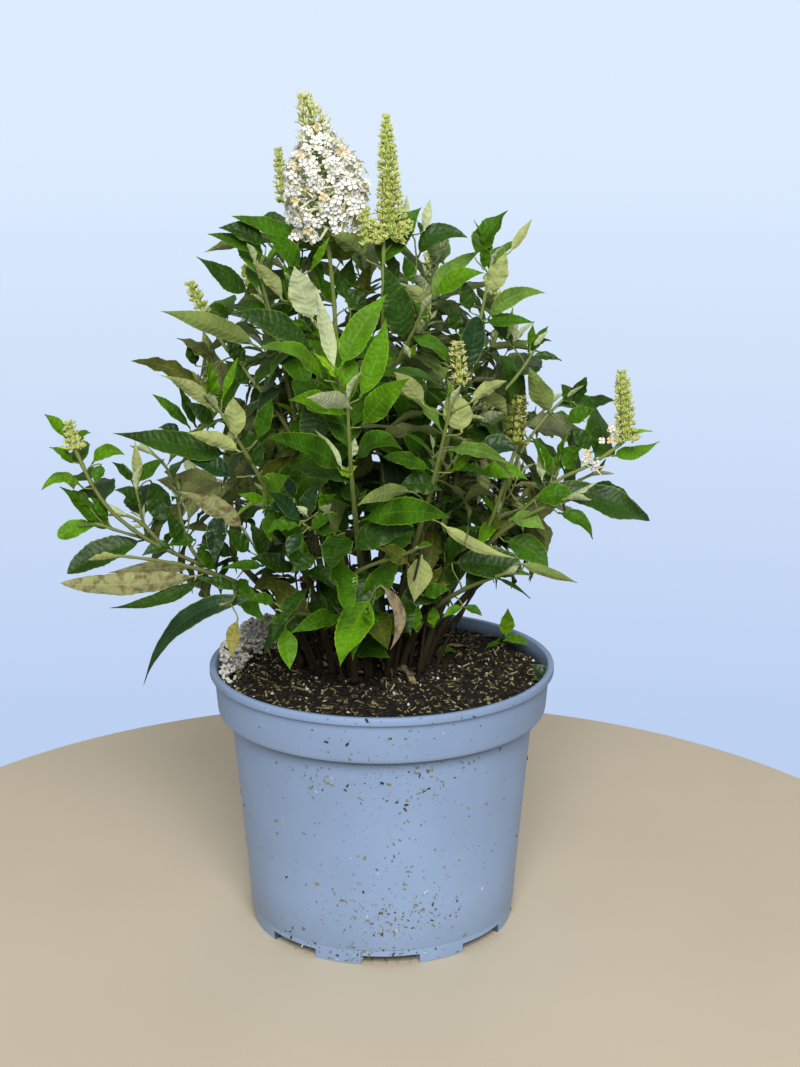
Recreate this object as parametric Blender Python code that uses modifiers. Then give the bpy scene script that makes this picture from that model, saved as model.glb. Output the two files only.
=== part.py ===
"""A dwarf butterfly bush in a round plastic nursery pot.

Every stem rises from the crown in the middle of the soil, bows outwards and carries one mass of
leaves.  A mass is one leafy axis that continues its stem, side axes that leave it, leaf pairs set
crosswise along them, and a flower spike at some of the tips.
"""

import math
import random
from collections import namedtuple

import bmesh
import bpy
from mathutils import Matrix, Vector
from mathutils.bvhtree import BVHTree

MM = 0.001
GAP = 0.3

# Pot, in millimetres: radii are of the outer side.
POT_HEIGHT = 175.0
RIM_RADIUS = 112.5
LIP_HEIGHT = 5.0
BAND_TOP_RADIUS = 109.5
BAND_FOOT_RADIUS = 107.6
BAND_FOOT_Z = 142.0
BAND_CURVE = 5.0
NECK_RADIUS = 99.0
SEAM_Z = 11.0
BASE_RADIUS = 87.0
WALL = 1.6
FLOOR_RAISE = 7.0
CENTRE_DISC_RADIUS = 38.0
CENTRE_SLOPE = 3.0
FOOT_RING_WIDTH = 7.5
FOOT_NOTCHES = 8
NOTCH_HEIGHT = 6.4
NOTCH_ANGLE = 24.0
NOTCH_FROM_FRONT = 4.0
POT_SEGMENTS = 48

# Soil.
SOIL_TOP = 166.0
SOIL_FLAT_RADIUS = 60.0
SOIL_EDGE = 159.5

# Stems.
CROWN_CENTRE = (-8.0, 18.0)
FOOT_SPREAD = 0.24
FOOT_MAX_RADIUS = 46.0
FOOT_SPACING = 12.5
STEM_FOOT_RADIUS = 3.0
STEM_FLARE = 1.35
STEM_LEAN = 0.25
STEM_END_RADIUS = 2.4
TWIG_TIP_RADIUS = 1.5
TWIG_STEP = 26.0
SIDE_RADIUS = 0.72
FLOWERING_RADIUS = 1.15
STEM_POINTS = 6
FOOT_CUT = 2.0
SIDE_TURN = 0.9
SIDE_FIRST = 0.18
SIDE_STEP = 0.16

# Leaves.
LEAF_LONG = 78.0
LEAF_AGE = 1.7
LEAF_SLENDER = 0.36
LEAF_WIDEST = 0.42
LEAF_KEEL = 0.016
KEEL_LEAST = 0.9
LEAF_ROOT = 0.7
LEAF_SHORTEST = 22.0
LEAF_MARGIN_TESTED = 0.2
DROOP_SHARES = (0.3, 0.35, 0.35)
DROOP_START, DROOP_GROWTH, DROOP_MOST = 8.0, 6.0, 50.0
OPEN_START, OPEN_MOST, OPEN_AGE = 12.0, 78.0, 3.0
TURN_TO_LIGHT = 0.45
NODE_FIRST = 4.0
INTERNODE_SHORT = 8.0
INTERNODE_GROWTH = 4.5
INTERNODE_LONG = 24.0
TRESPASS = 24.0
CLEARANCE = 0.55
SITE_STEP = 14.0
# Distances in metres for merging the tiny edges that a union leaves, the first that works.
WELDS = (5e-6, 2e-6, 1e-6, 3e-7, 0.0)

# Masses: share of the stem that is bare, leaf size, then the tips in millimetres with the tilt of
# each tip from upright in degrees and what the tip ends in.
MASSES = {
    "top_left": (0.44, 1.0, ((-33, 0, 450, 8, "panicle"), (-60, 45, 466, 6, "spike"),
                             (-52, -34, 424, 32, "leafy"))),
    "top_right": (0.44, 1.0, ((2, -10, 453, 3, "tall_spike"), (38, 50, 437, 12, "leafy"),
                              (26, -42, 412, 30, "leafy"))),
    "upper_left": (0.42, 1.0, ((-78, -10, 438, 18, "leafy"), (-112, 20, 397, 30, "spike"))),
    "upper_right": (0.42, 1.0, ((69, 0, 436, 10, "leafy"), (99, 20, 379, 25, "leafy"))),
    "left_front": (0.40, 1.05, ((-98, -70, 358, 35, "leafy"), (-70, -84, 300, 60, "leafy"))),
    "left_low": (0.40, 1.0, ((-192, -10, 316, 52, "buds"), (-150, 12, 312, 60, "leafy"),
                             (-168, 4, 272, 80, "leafy"))),
    "front": (0.42, 1.15, ((-18, -112, 372, 10, "leafy"),)),
    "front_low": (0.36, 1.1, ((-30, -122, 306, 50, "leafy"), (22, -116, 282, 62, "leafy"))),
    "right_front": (0.42, 1.0, ((42, -88, 364, 20, "leafy"), (48, -50, 369, 8, "spike"))),
    "right_low": (0.42, 1.0, ((142, -10, 322, 14, "spike"), (122, 30, 346, 50, "leafy"),
                              (138, 4, 300, 62, "leafy"))),
    "right_front_low": (0.40, 1.05, ((118, -48, 296, 68, "leafy"), (84, -30, 323, 20, "spike"))),
    "dry_heads": (0.40, 0.6, ((76, 24, 274, 25, "dry"), (50, 42, 292, 12, "dry"))),
    "left_foot": (0.34, 1.15, ((-168, -38, 256, 80, "leafy"), (-98, -72, 234, 82, "leafy"))),
    "front_foot": (0.34, 0.8, ((-60, -82, 232, 75, "leafy"), (-8, -88, 234, 75, "leafy"))),
    "right_foot": (0.34, 0.95, ((80, -62, 252, 66, "leafy"),)),
    "back_top": (0.42, 1.0, ((-12, 82, 428, 10, "leafy"), (28, 104, 396, 16, "spike"))),
    "back_left": (0.42, 1.0, ((-82, 98, 385, 28, "spike"), (-122, 84, 338, 45, "leafy"))),
    "back_right": (0.42, 1.0, ((80, 92, 384, 25, "spike"), (114, 84, 330, 45, "leafy"))),
    "back_low_left": (0.38, 1.0, ((-66, 138, 290, 62, "leafy"), (-128, 104, 266, 75, "leafy"))),
    "back_low_right": (0.38, 1.0, ((54, 142, 292, 60, "leafy"), (116, 96, 266, 75, "leafy"))),
}
# Length and radius of each kind of spike, and the age that its first leaf pair has reached.
SPIKE_SIZES = {"spike": (38.0, 6.0), "tall_spike": (68.0, 7.5), "dry": (30.0, 6.0), "buds": (15.0, 5.0)}
FLOWERING_AGE = 1.6
PANICLE_LENGTH = 86.0
PANICLE_RADIUS = 26.0
PANICLE_WIDEST = 0.24
PANICLE_WHORLS = 14
PANICLE_SIDES = 9

# A leaf that would meet something is tried again: turned about its twig, drooping less or more,
# smaller.
TRIES = ((0.0, 1.0, 1.0), (0.5, 1.0, 1.0), (-0.5, 1.0, 1.0), (0.0, 0.3, 1.0), (0.0, 2.0, 0.95),
         (1.0, 0.8, 0.9), (-1.0, 0.8, 0.9), (0.3, 0.5, 0.75), (-0.3, 1.5, 0.75), (0.0, 1.0, 0.6))

UP = Vector((0, 0, 1))
DOWN = Vector((0, 0, -1))

Leaf = namedtuple("Leaf", "place way heading upper length width droop age")


def clear_scene():
    for thing in list(bpy.data.objects):
        bpy.data.objects.remove(thing, do_unlink=True)


def new_collection(name):
    group = bpy.data.collections.new(name)
    bpy.context.scene.collection.children.link(group)
    return group


def principled(name, colour, roughness):
    material = bpy.data.materials.new(name)
    material.use_nodes = True
    shader = material.node_tree.nodes["Principled BSDF"]
    shader.inputs["Base Color"].default_value = (*colour, 1.0)
    shader.inputs["Roughness"].default_value = roughness
    material.diffuse_color = (*colour, 1.0)
    return material


def turned(name, profile, group, material):
    """A closed body turned from (radius, height) pairs that run from the axis back to the axis."""
    mesh = bpy.data.meshes.new(name)
    points = [(radius * MM, 0.0, height * MM) for radius, height in profile]
    mesh.from_pydata(points, [(i, i + 1) for i in range(len(points) - 1)], [])
    body = bpy.data.objects.new(name, mesh)
    group.objects.link(body)
    screw = body.modifiers.new("turn", "SCREW")
    screw.axis = "Z"
    screw.steps = screw.render_steps = POT_SEGMENTS
    screw.use_merge_vertices = True
    screw.merge_threshold = 0.00001
    screw.use_smooth_shade = True
    body.data.materials.append(material)
    return body


def wall_radius(height):
    """Outer radius of the tapered wall below the band."""
    return BASE_RADIUS + (NECK_RADIUS - BASE_RADIUS) * height / BAND_FOOT_Z


def inner_side():
    """Inner side of the pot from the middle of the floor up to the lip."""
    floor = FLOOR_RAISE + WALL
    return [
        (0.0, WALL),
        (CENTRE_DISC_RADIUS - WALL / 2, WALL),
        (CENTRE_DISC_RADIUS + CENTRE_SLOPE - WALL / 2, floor),
        (wall_radius(floor) - WALL - 3.0, floor),
        (wall_radius(floor + 3.0) - WALL, floor + 3.0),
        (wall_radius(BAND_FOOT_Z + 2.0) - WALL, BAND_FOOT_Z + 2.0),
        (BAND_FOOT_RADIUS - WALL, BAND_FOOT_Z + BAND_CURVE + 1.5),
        (BAND_TOP_RADIUS - WALL, POT_HEIGHT - LIP_HEIGHT / 2),
        (BAND_TOP_RADIUS - WALL + 0.8, POT_HEIGHT - 0.4),
    ]


def make_pot(group, cutters, material):
    outer = [
        (BAND_TOP_RADIUS, POT_HEIGHT),
        (RIM_RADIUS - 0.8, POT_HEIGHT),
        (RIM_RADIUS, POT_HEIGHT - 0.9),
        (RIM_RADIUS, POT_HEIGHT - LIP_HEIGHT + 0.6),
        (RIM_RADIUS - 0.7, POT_HEIGHT - LIP_HEIGHT),
        (BAND_TOP_RADIUS, POT_HEIGHT - LIP_HEIGHT),
        (BAND_FOOT_RADIUS, BAND_FOOT_Z + BAND_CURVE),
        (BAND_FOOT_RADIUS - 1.8, BAND_FOOT_Z + 1.5),
        (wall_radius(BAND_FOOT_Z) + 3.4, BAND_FOOT_Z),
        (wall_radius(BAND_FOOT_Z), BAND_FOOT_Z - 1.0),
        (wall_radius(SEAM_Z) + 0.4, SEAM_Z),
        (wall_radius(SEAM_Z) - 0.3, SEAM_Z - 0.7),
        (BASE_RADIUS, 1.0),
        (BASE_RADIUS - 0.8, 0.0),
        (BASE_RADIUS - FOOT_RING_WIDTH, 0.0),
        (BASE_RADIUS - FOOT_RING_WIDTH - 1.0, FLOOR_RAISE),
        (CENTRE_DISC_RADIUS + CENTRE_SLOPE, FLOOR_RAISE),
        (CENTRE_DISC_RADIUS, 0.0),
        (0.0, 0.0),
    ]
    pot = turned("pot", inner_side() + outer, group, material)
    width = 2 * BASE_RADIUS * math.tan(math.radians(NOTCH_ANGLE / 2))
    for number in range(FOOT_NOTCHES):
        turn = math.radians(NOTCH_FROM_FRONT - 90.0 + 360.0 * number / FOOT_NOTCHES)
        bpy.ops.mesh.primitive_cube_add(size=1.0)
        cutter = bpy.context.object
        cutter.name = f"foot_notch_{number}"
        cutter.scale = ((2 * FOOT_RING_WIDTH + 4) * MM, width * MM, 2 * NOTCH_HEIGHT * MM)
        cutter.rotation_euler = (0.0, 0.0, turn)
        cutter.location = (BASE_RADIUS * MM * math.cos(turn), BASE_RADIUS * MM * math.sin(turn), 0.0)
        cutter.hide_render = True
        cutter.display_type = "WIRE"
        for home in list(cutter.users_collection):
            home.objects.unlink(cutter)
        cutters.objects.link(cutter)
    cut = pot.modifiers.new("foot_notches", "BOOLEAN")
    cut.operation = "DIFFERENCE"
    cut.operand_type = "COLLECTION"
    cut.collection = cutters
    return pot


def make_soil(group, material):
    inside = [(max(radius - GAP, 0.0), height) for radius, height in inner_side()[:-2]]
    band_top = inner_side()[-2]
    foot = inside[-1]
    share = (SOIL_EDGE - foot[1]) / (band_top[1] - foot[1])
    edge = foot[0] + (band_top[0] - GAP - foot[0]) * share
    top = [(0.0, SOIL_TOP), (SOIL_FLAT_RADIUS, SOIL_TOP), ((SOIL_FLAT_RADIUS + edge) / 2, 164.0)]
    side = [(edge, SOIL_EDGE)] + list(reversed(inside))
    raised = [(radius, height + GAP) if height < FLOOR_RAISE + WALL + 0.1 else (radius, height)
              for radius, height in side]
    return turned("soil", top + raised, group, material)


def bezier(start, start_way, end, end_way, count):
    """Points of a cubic curve that leaves start along start_way and arrives along end_way."""
    reach = (end - start).length * 0.38
    first, second = start + start_way * reach, end - end_way * reach
    points = []
    for i in range(count + 1):
        t = i / count
        u = 1 - t
        points.append(start * u ** 3 + first * (3 * u * u * t) + second * (3 * u * t * t) + end * t ** 3)
    return points


def path_length(points):
    return sum((b - a).length for a, b in zip(points, points[1:]))


def along(points, distance):
    """Place and direction at a distance along a path."""
    for a, b in zip(points, points[1:]):
        step = (b - a).length
        if distance <= step:
            return a.lerp(b, max(distance, 0.0) / step), (b - a).normalized()
        distance -= step
    return points[-1].copy(), (points[-1] - points[-2]).normalized()


def part_of_path(points, begin, finish, count):
    return [along(points, begin + (finish - begin) * i / count)[0] for i in range(count + 1)]


def tip_way(tip, tilt):
    """Direction of a tip that leans away from the crown by a tilt from upright."""
    out = Vector((tip[0] - CROWN_CENTRE[0] * MM, tip[1] - CROWN_CENTRE[1] * MM, 0.0)).normalized()
    return (out * math.sin(math.radians(tilt)) + UP * math.cos(math.radians(tilt))).normalized()


def place_feet():
    """Where each stem leaves the soil: towards its tip, then pushed apart to clear the others."""
    feet = {}
    for name, (_, _, tips) in MASSES.items():
        way = Vector((tips[0][0] - CROWN_CENTRE[0], tips[0][1] - CROWN_CENTRE[1])) * FOOT_SPREAD
        if way.length > FOOT_MAX_RADIUS:
            way = way.normalized() * FOOT_MAX_RADIUS
        feet[name] = Vector(CROWN_CENTRE) + way
    names = list(feet)
    for _ in range(60):
        for i, one in enumerate(names):
            for other in names[i + 1:]:
                apart = feet[one] - feet[other]
                if apart.length < FOOT_SPACING:
                    push = apart.normalized() * (FOOT_SPACING - apart.length) / 2
                    feet[one] += push
                    feet[other] -= push
    return feet


def plan_masses():
    """Bare stem and leafy axes of every mass, as paths."""
    plans = {}
    feet = place_feet()
    for name, (bare, vigour, tips) in MASSES.items():
        base_z = (SOIL_TOP + GAP) * MM
        foot = Vector((feet[name].x * MM, feet[name].y * MM, base_z))
        tip = Vector(tips[0][:3]) * MM
        out = Vector((tip.x - foot.x, tip.y - foot.y, 0.0))
        out = out.normalized() * STEM_LEAN if out.length > STEM_FOOT_RADIUS * MM else Vector()
        cut = foot + UP * FOOT_CUT * MM
        whole = [foot] + bezier(cut, (UP + out).normalized(), tip, tip_way(tip, tips[0][3]), 24)
        total = path_length(whole)
        stem = [foot] + part_of_path(whole, FOOT_CUT * MM, total * bare, STEM_POINTS - 2)
        main = part_of_path(whole, total * bare + GAP * MM, total, 16)
        main[0] = stem[-1] + (stem[-1] - stem[-2]).normalized() * GAP * MM
        axes = [(main, tips[0][4])]
        for number, side_tip in enumerate(tips[1:]):
            place, way = along(main, path_length(main) * (SIDE_FIRST + SIDE_STEP * number))
            end = Vector(side_tip[:3]) * MM
            leave = (way + (end - place).normalized() * SIDE_TURN).normalized()
            axes.append((bezier(place, leave, end, tip_way(end, side_tip[3]), 16), side_tip[4]))
        plans[name] = {"stem": stem, "axes": axes, "vigour": vigour}
        plans[name]["start_way"] = (stem[-1] - stem[-2]).normalized()
    return plans


def node_places(length):
    """Distances of the leaf pairs back from the tip, closest together near it."""
    places, back, number = [], NODE_FIRST * MM, 0
    while back < length - 3 * MM:
        places.append(back)
        back += min(INTERNODE_LONG, INTERNODE_SHORT + INTERNODE_GROWTH * number) * MM
        number += 1
    return places


def perpendicular(way, points):
    """A steady direction across the axis."""
    chord = points[-1] - points[0]
    reference = UP.cross(chord)
    if reference.length < 0.2 * chord.length:
        reference = Vector((1, 0, 0)) * chord.length
    return (reference - way * reference.dot(way)).normalized()


def leaf_pairs(name, number, points, kind, vigour):
    """Every leaf of an axis: root, heading, upper side, length, width, droop and age."""
    rng = random.Random(f"{name} {number}")
    total = path_length(points)
    turn = rng.random() * math.pi
    leaves = []
    first = 0.0 if kind == "leafy" else FLOWERING_AGE
    for count, back in enumerate(node_places(total)):
        age = count + first
        place, way = along(points, total - back)
        across = perpendicular(way, points)
        for side in (0, 1):
            draw = [rng.random() for _ in range(6)]
            azimuth = turn + count * math.pi / 2 + side * math.pi + (draw[0] - 0.5) * 0.6
            out = Matrix.Rotation(azimuth, 3, way) @ across
            opening = math.radians(OPEN_START + OPEN_MOST * (1 - math.exp(-(age + 0.2) / OPEN_AGE)))
            opening *= 0.85 + 0.3 * draw[1]
            heading = (way * math.cos(opening) + out * math.sin(opening)).normalized()
            length = vigour * LEAF_LONG * (1 - math.exp(-(age + 0.45) / LEAF_AGE))
            length *= 0.8 + 0.35 * draw[2]
            width = length * LEAF_SLENDER * (0.9 + 0.25 * draw[3])
            droop = math.radians(min(DROOP_START + DROOP_GROWTH * age, DROOP_MOST))
            droop *= 0.3 + 1.2 * draw[4]
            upper = (way - heading * way.dot(heading)).normalized() + UP * TURN_TO_LIGHT
            upper = (upper - heading * upper.dot(heading)).normalized()
            upper = Matrix.Rotation((draw[5] - 0.5) * 0.9, 3, heading) @ upper
            leaves.append(Leaf(place, way, heading, upper, length, width, droop, age))
    return leaves


def tried_again(leaf, turn, droop, size):
    """The same leaf turned about its twig, with another droop and size."""
    about = Matrix.Rotation(turn, 3, leaf.way)
    return leaf._replace(heading=about @ leaf.heading, upper=about @ leaf.upper,
                         length=leaf.length * size, width=leaf.width * size, droop=leaf.droop * droop)


def bend_down(way, upper, angle):
    """Turn a direction and its upper side towards the ground."""
    axis = way.cross(DOWN)
    if axis.length < 1e-4:
        return way, upper
    turn = Matrix.Rotation(min(angle, 0.8 * way.angle(DOWN)), 3, axis)
    return turn @ way, turn @ upper


def leaf_rings(leaf):
    """Sections of a leaf from its root to its tip, each a triangle with the keel below."""
    way, top = bend_down(leaf.heading, leaf.upper, leaf.droop * DROOP_SHARES[0])
    side = way.cross(top) * MM
    below = top * MM
    centre = leaf.place
    rings = [[centre + side * LEAF_ROOT + below * 0.5, centre - side * LEAF_ROOT + below * 0.5,
              centre - below * LEAF_ROOT]]
    centre = centre + way * leaf.length * LEAF_WIDEST * MM
    way, top = bend_down(way, top, leaf.droop * DROOP_SHARES[1])
    side = way.cross(top) * MM
    keel = max(LEAF_KEEL * leaf.length, KEEL_LEAST)
    rings.append([centre + side * leaf.width / 2, centre - side * leaf.width / 2,
                  centre - top * keel * MM])
    way, top = bend_down(way, top, leaf.droop * DROOP_SHARES[2])
    return rings, centre + way * leaf.length * (1 - LEAF_WIDEST) * MM


def loft(rings, tip=None):
    """A closed mesh through like rings, ending in a point or in a flat cap."""
    sides = len(rings[0])
    points = [corner for ring in rings for corner in ring]
    faces = [tuple(reversed(range(sides)))]
    for row in range(len(rings) - 1):
        for i in range(sides):
            j = (i + 1) % sides
            faces.append((row * sides + i, row * sides + j, (row + 1) * sides + j, (row + 1) * sides + i))
    last = (len(rings) - 1) * sides
    if tip is None:
        faces.append(tuple(range(last, last + sides)))
    else:
        points.append(tip)
        faces += [(last + i, last + (i + 1) % sides, len(points) - 1) for i in range(sides)]
    return points, faces


def tube_rings(points, radii, sides, start_way=None):
    """Rings round a path; the first can be square to another direction, to face a flat end."""
    rings = []
    for i, point in enumerate(points):
        way = (points[min(i + 1, len(points) - 1)] - points[max(i - 1, 0)]).normalized()
        if i == 0 and start_way:
            way = start_way
        across = perpendicular(way, points)
        ring = []
        for corner in range(sides):
            turn = Matrix.Rotation(2 * math.pi * corner / sides, 3, way)
            ring.append(point + turn @ across * radii[i] * MM)
        rings.append(ring)
    return rings


def twig(points, start_radius, end_radius, start_way=None):
    """A three-sided twig that tapers to its tip."""
    count = max(2, round(path_length(points) / (TWIG_STEP * MM)))
    path = part_of_path(points, 0.0, path_length(points), count)
    radii = [start_radius + (end_radius - start_radius) * i / count for i in range(count + 1)]
    return loft(tube_rings(path, radii, 3, start_way))


def spike(base, way, length, radius, sides=5):
    """A flower spike: rings of buds that swell and draw in up a spindle."""
    count = max(6, 2 * round(length / 14))
    start = base - way * 3 * MM
    path = [start + way * (length + 3) * MM * i / count for i in range(count + 1)]
    radii = []
    for i in range(count):
        swell = radius * math.sin(math.pi * (0.16 + 0.78 * i / count)) ** 0.7
        radii.append(swell * (1.0 if i % 2 else 0.7))
    return loft(tube_rings(path[:-1], radii, sides), path[-1])


def panicle(base, way):
    """A broad cone of floret whorls that narrows to a spike of buds."""
    start = base - way * 3 * MM
    across = way.orthogonal().normalized()
    rings = []
    for whorl in range(PANICLE_WHORLS):
        share = whorl / PANICLE_WHORLS
        rise = min(share / PANICLE_WIDEST, 1.0) ** 0.6
        fall = min((1 - share) / (1 - PANICLE_WIDEST), 1.0) ** 1.3
        radius = 2.5 + PANICLE_RADIUS * rise * fall * (1.0 if whorl % 2 else 0.82)
        centre = start + way * PANICLE_LENGTH * share * MM
        ring = []
        for corner in range(PANICLE_SIDES):
            angle = 2 * math.pi * (corner + 0.5 * (whorl % 2)) / PANICLE_SIDES
            ring.append(centre + Matrix.Rotation(angle, 3, way) @ across * radius * MM)
        rings.append(ring)
    return [loft(rings, base + way * PANICLE_LENGTH * MM)]


def box_of(points):
    return [min(p[i] for p in points) for i in range(3)] + [max(p[i] for p in points) for i in range(3)]


def boxes_meet(a, b):
    return all(a[i] <= b[i + 3] and b[i] <= a[i + 3] for i in range(3))


def placed_piece(points, faces):
    return box_of(points), BVHTree.FromPolygons(points, faces)


def touches(points, faces, placed):
    """Whether a body meets any that is already placed."""
    box = box_of(points)
    tree = None
    for other_box, other_tree in placed:
        if boxes_meet(box, other_box):
            tree = tree or BVHTree.FromPolygons(points, faces)
            if tree.overlap(other_tree):
                return True
    return False


def middle_of(ring):
    return sum(ring, Vector()) / len(ring)


def grown_loft(rings, tip):
    """The same leaf pushed outwards, to test its clearance."""
    wide = []
    for ring in rings:
        middle = middle_of(ring)
        wide.append([corner + (corner - middle).normalized() * CLEARANCE * MM for corner in ring])
    return loft(wide, tip + (tip - middle_of(rings[-1])).normalized() * CLEARANCE * MM)


def too_near(leaf_samples, own, others):
    """Whether a leaf reaches out of its mass's own space."""
    for sample in leaf_samples:
        home = min((sample - site).length for site in own)
        away = min((sample - site).length for site in others)
        if home - away > TRESPASS * MM:
            return True
    return False


def mesh_body(name, points, faces, group):
    mesh = bpy.data.meshes.new(name)
    mesh.from_pydata([tuple(p) for p in points], [], faces)
    mesh.update()
    form = bmesh.new()
    form.from_mesh(mesh)
    bmesh.ops.recalc_face_normals(form, faces=form.faces)
    form.to_mesh(mesh)
    form.free()
    body = bpy.data.objects.new(name, mesh)
    group.objects.link(body)
    return body


def faulty_edges(form):
    """Edges that are open, shared by more than two faces, or between faces that point apart."""
    return sum(1 for edge in form.edges if len(edge.link_faces) != 2 or not edge.is_contiguous)


def shells(form):
    """Groups of faces that hang together across edges with two faces."""
    left, groups = set(form.faces), []
    while left:
        stack, group = [left.pop()], []
        while stack:
            face = stack.pop()
            group.append(face)
            for edge in face.edges:
                if len(edge.link_faces) == 2:
                    for near in edge.link_faces:
                        if near in left:
                            left.discard(near)
                            stack.append(near)
        groups.append(group)
    return groups


def shell_volume(group):
    return sum(f.verts[0].co.dot(f.verts[1].co.cross(f.verts[2].co)) / 6 for f in group)


def keep_largest(mesh, weld):
    """Merge tiny edges, then fill sealed hollows and drop loose scraps."""
    form = bmesh.new()
    form.from_mesh(mesh)
    bmesh.ops.triangulate(form, faces=form.faces)
    if weld:
        bmesh.ops.remove_doubles(form, verts=form.verts, dist=weld)
        bmesh.ops.dissolve_degenerate(form, edges=form.edges, dist=weld)
        bmesh.ops.triangulate(form, faces=form.faces)
    groups = sorted(shells(form), key=shell_volume)
    for group in groups[:-1]:
        bmesh.ops.delete(form, geom=group, context="FACES")
    bmesh.ops.delete(form, geom=[e for e in form.edges if not e.link_faces], context="EDGES")
    bmesh.ops.delete(form, geom=[v for v in form.verts if not v.link_faces], context="VERTS")
    good = faulty_edges(form) == 0
    if good:
        form.to_mesh(mesh)
    form.free()
    return good


def fuse(name, pieces, group, material):
    """One closed body from closed pieces that overlap."""
    helpers = new_collection(name + "_pieces")
    body = mesh_body(name, *pieces[0], group)
    for number, piece in enumerate(pieces[1:]):
        mesh_body(f"{name}_piece_{number}", *piece, helpers)
    union = body.modifiers.new("fuse", "BOOLEAN")
    union.operation = "UNION"
    union.operand_type = "COLLECTION"
    union.collection = helpers
    bpy.context.view_layer.objects.active = body
    bpy.ops.object.modifier_apply(modifier=union.name)
    for piece in list(helpers.objects):
        bpy.data.objects.remove(piece, do_unlink=True)
    bpy.data.collections.remove(helpers)
    for weld in WELDS:
        if keep_largest(body.data, weld):
            break
    body.data.materials.clear()
    body.data.materials.append(material)
    return body


def make_stem(name, path, group, material):
    """A tapering stem with a slight flare at its foot, as a filled curve."""
    curve = bpy.data.curves.new(name, "CURVE")
    curve.dimensions = "3D"
    curve.bevel_depth = 1.0 * MM
    curve.bevel_resolution = 1
    curve.use_fill_caps = True
    line = curve.splines.new("POLY")
    line.points.add(len(path) - 1)
    for i, (knot, point) in enumerate(zip(line.points, path)):
        knot.co = (*point, 1.0)
        share = max(i - 1, 0) / (len(path) - 2)
        knot.radius = STEM_FOOT_RADIUS + (STEM_END_RADIUS - STEM_FOOT_RADIUS) * share
        if i < 2:
            knot.radius *= STEM_FLARE
    body = bpy.data.objects.new(name, curve)
    body.data.materials.append(material)
    group.objects.link(body)
    return body


def evaluated_body(body):
    """Points and faces of a body as the viewport shows it."""
    graph = bpy.context.evaluated_depsgraph_get()
    shown = body.evaluated_get(graph)
    mesh = shown.to_mesh()
    points = [body.matrix_world @ v.co for v in mesh.vertices]
    faces = [tuple(p.vertices) for p in mesh.polygons]
    shown.to_mesh_clear()
    return points, faces


def sites_of(plan):
    sites = []
    for points, _ in plan["axes"]:
        total = path_length(points)
        count = max(2, round(total / (SITE_STEP * MM)))
        sites += part_of_path(points, 0.0, total, count)
    return sites


def end_pieces(points, kind):
    """What stands on the tip of an axis."""
    tip, way = along(points, path_length(points))
    if kind == "panicle":
        return panicle(tip, way)
    if kind == "dry":
        length, radius = SPIKE_SIZES[kind]
        pieces = []
        for lean in (-0.35, 0.55):
            out = (way + way.orthogonal().normalized() * lean).normalized()
            pieces.append(spike(tip, out, length, radius, 4))
        return pieces
    if kind in SPIKE_SIZES:
        return [spike(tip, way, *SPIKE_SIZES[kind])]
    return []


def grow_frame(name, plan, others):
    """Twigs and tips of one mass; a side axis or a tip that meets another mass is left out."""
    pieces, axes = [], []
    for number, (points, kind) in enumerate(plan["axes"]):
        end_radius = TWIG_TIP_RADIUS * (1.0 if kind == "leafy" else FLOWERING_RADIUS)
        if number == 0:
            piece = twig(points, STEM_END_RADIUS, end_radius, plan["start_way"])
        else:
            piece = twig(points, STEM_END_RADIUS * SIDE_RADIUS, end_radius)
        if number and touches(*piece, others):
            continue
        axes.append(number)
        pieces.append(piece)
        pieces += [tip for tip in end_pieces(points, kind) if not touches(*tip, others)]
    return pieces, axes


def grow_leaves(name, plan, axes, sites, others, mine):
    """Leaves of one mass that keep to its own space and clear every neighbour."""
    own = sites[name]
    away = [site for other, group in sites.items() if other != name for site in group]
    pieces = []
    for number in axes:
        points, kind = plan["axes"][number]
        for leaf in leaf_pairs(name, number, points, kind, plan["vigour"]):
            if leaf.length < LEAF_SHORTEST:
                continue
            for change in TRIES:
                rings, tip = leaf_rings(tried_again(leaf, *change))
                if too_near((middle_of(rings[1]), tip), own, away):
                    continue
                if touches(*grown_loft(rings, tip), others):
                    continue
                blade = [[a.lerp(b, LEAF_MARGIN_TESTED) for a, b in zip(*rings)], rings[1]]
                if touches(*loft(blade, tip), mine):
                    continue
                pieces.append(loft(rings, tip))
                mine.append(placed_piece(*pieces[-1]))
                break
    return pieces


def main():
    clear_scene()
    parts = new_collection("potted_butterfly_bush")
    cutters = new_collection("cutters")
    plastic = principled("pot_plastic", (0.27, 0.36, 0.55), 0.55)
    earth = principled("potting_soil", (0.025, 0.02, 0.016), 0.95)
    bark = principled("stem_bark", (0.18, 0.2, 0.07), 0.7)
    leaf_green = principled("leaves", (0.09, 0.22, 0.04), 0.6)

    pot = make_pot(parts, cutters, plastic)
    soil = make_soil(parts, earth)
    plans = plan_masses()
    stems = [make_stem("stem_" + name, plan["stem"], parts, bark) for name, plan in plans.items()]
    bpy.context.view_layer.update()
    fixed = []
    for body in [pot, soil] + stems:
        points, faces = evaluated_body(body)
        if body is soil:
            points = [p + UP * CLEARANCE * MM for p in points]
        fixed.append(placed_piece(points, faces))
    sites = {name: sites_of(plan) for name, plan in plans.items()}
    frames, taken = {}, {}
    for name, plan in plans.items():
        others = fixed + [piece for group in taken.values() for piece in group]
        frames[name] = grow_frame(name, plan, others)
        taken[name] = [placed_piece(*piece) for piece in frames[name][0]]
    for name, plan in plans.items():
        others = fixed + [piece for other, group in taken.items() if other != name for piece in group]
        pieces, axes = frames[name]
        leaves = grow_leaves(name, plan, axes, sites, others, taken[name])
        fuse("leaves_" + name, pieces + leaves, parts, leaf_green)


main()
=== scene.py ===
"""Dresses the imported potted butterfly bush: pot, soil, stems, leaves, blossom and studio.

The plant grows by the rule of its CAD source, carried on to finer twigs and smaller leaves.
"""

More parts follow.
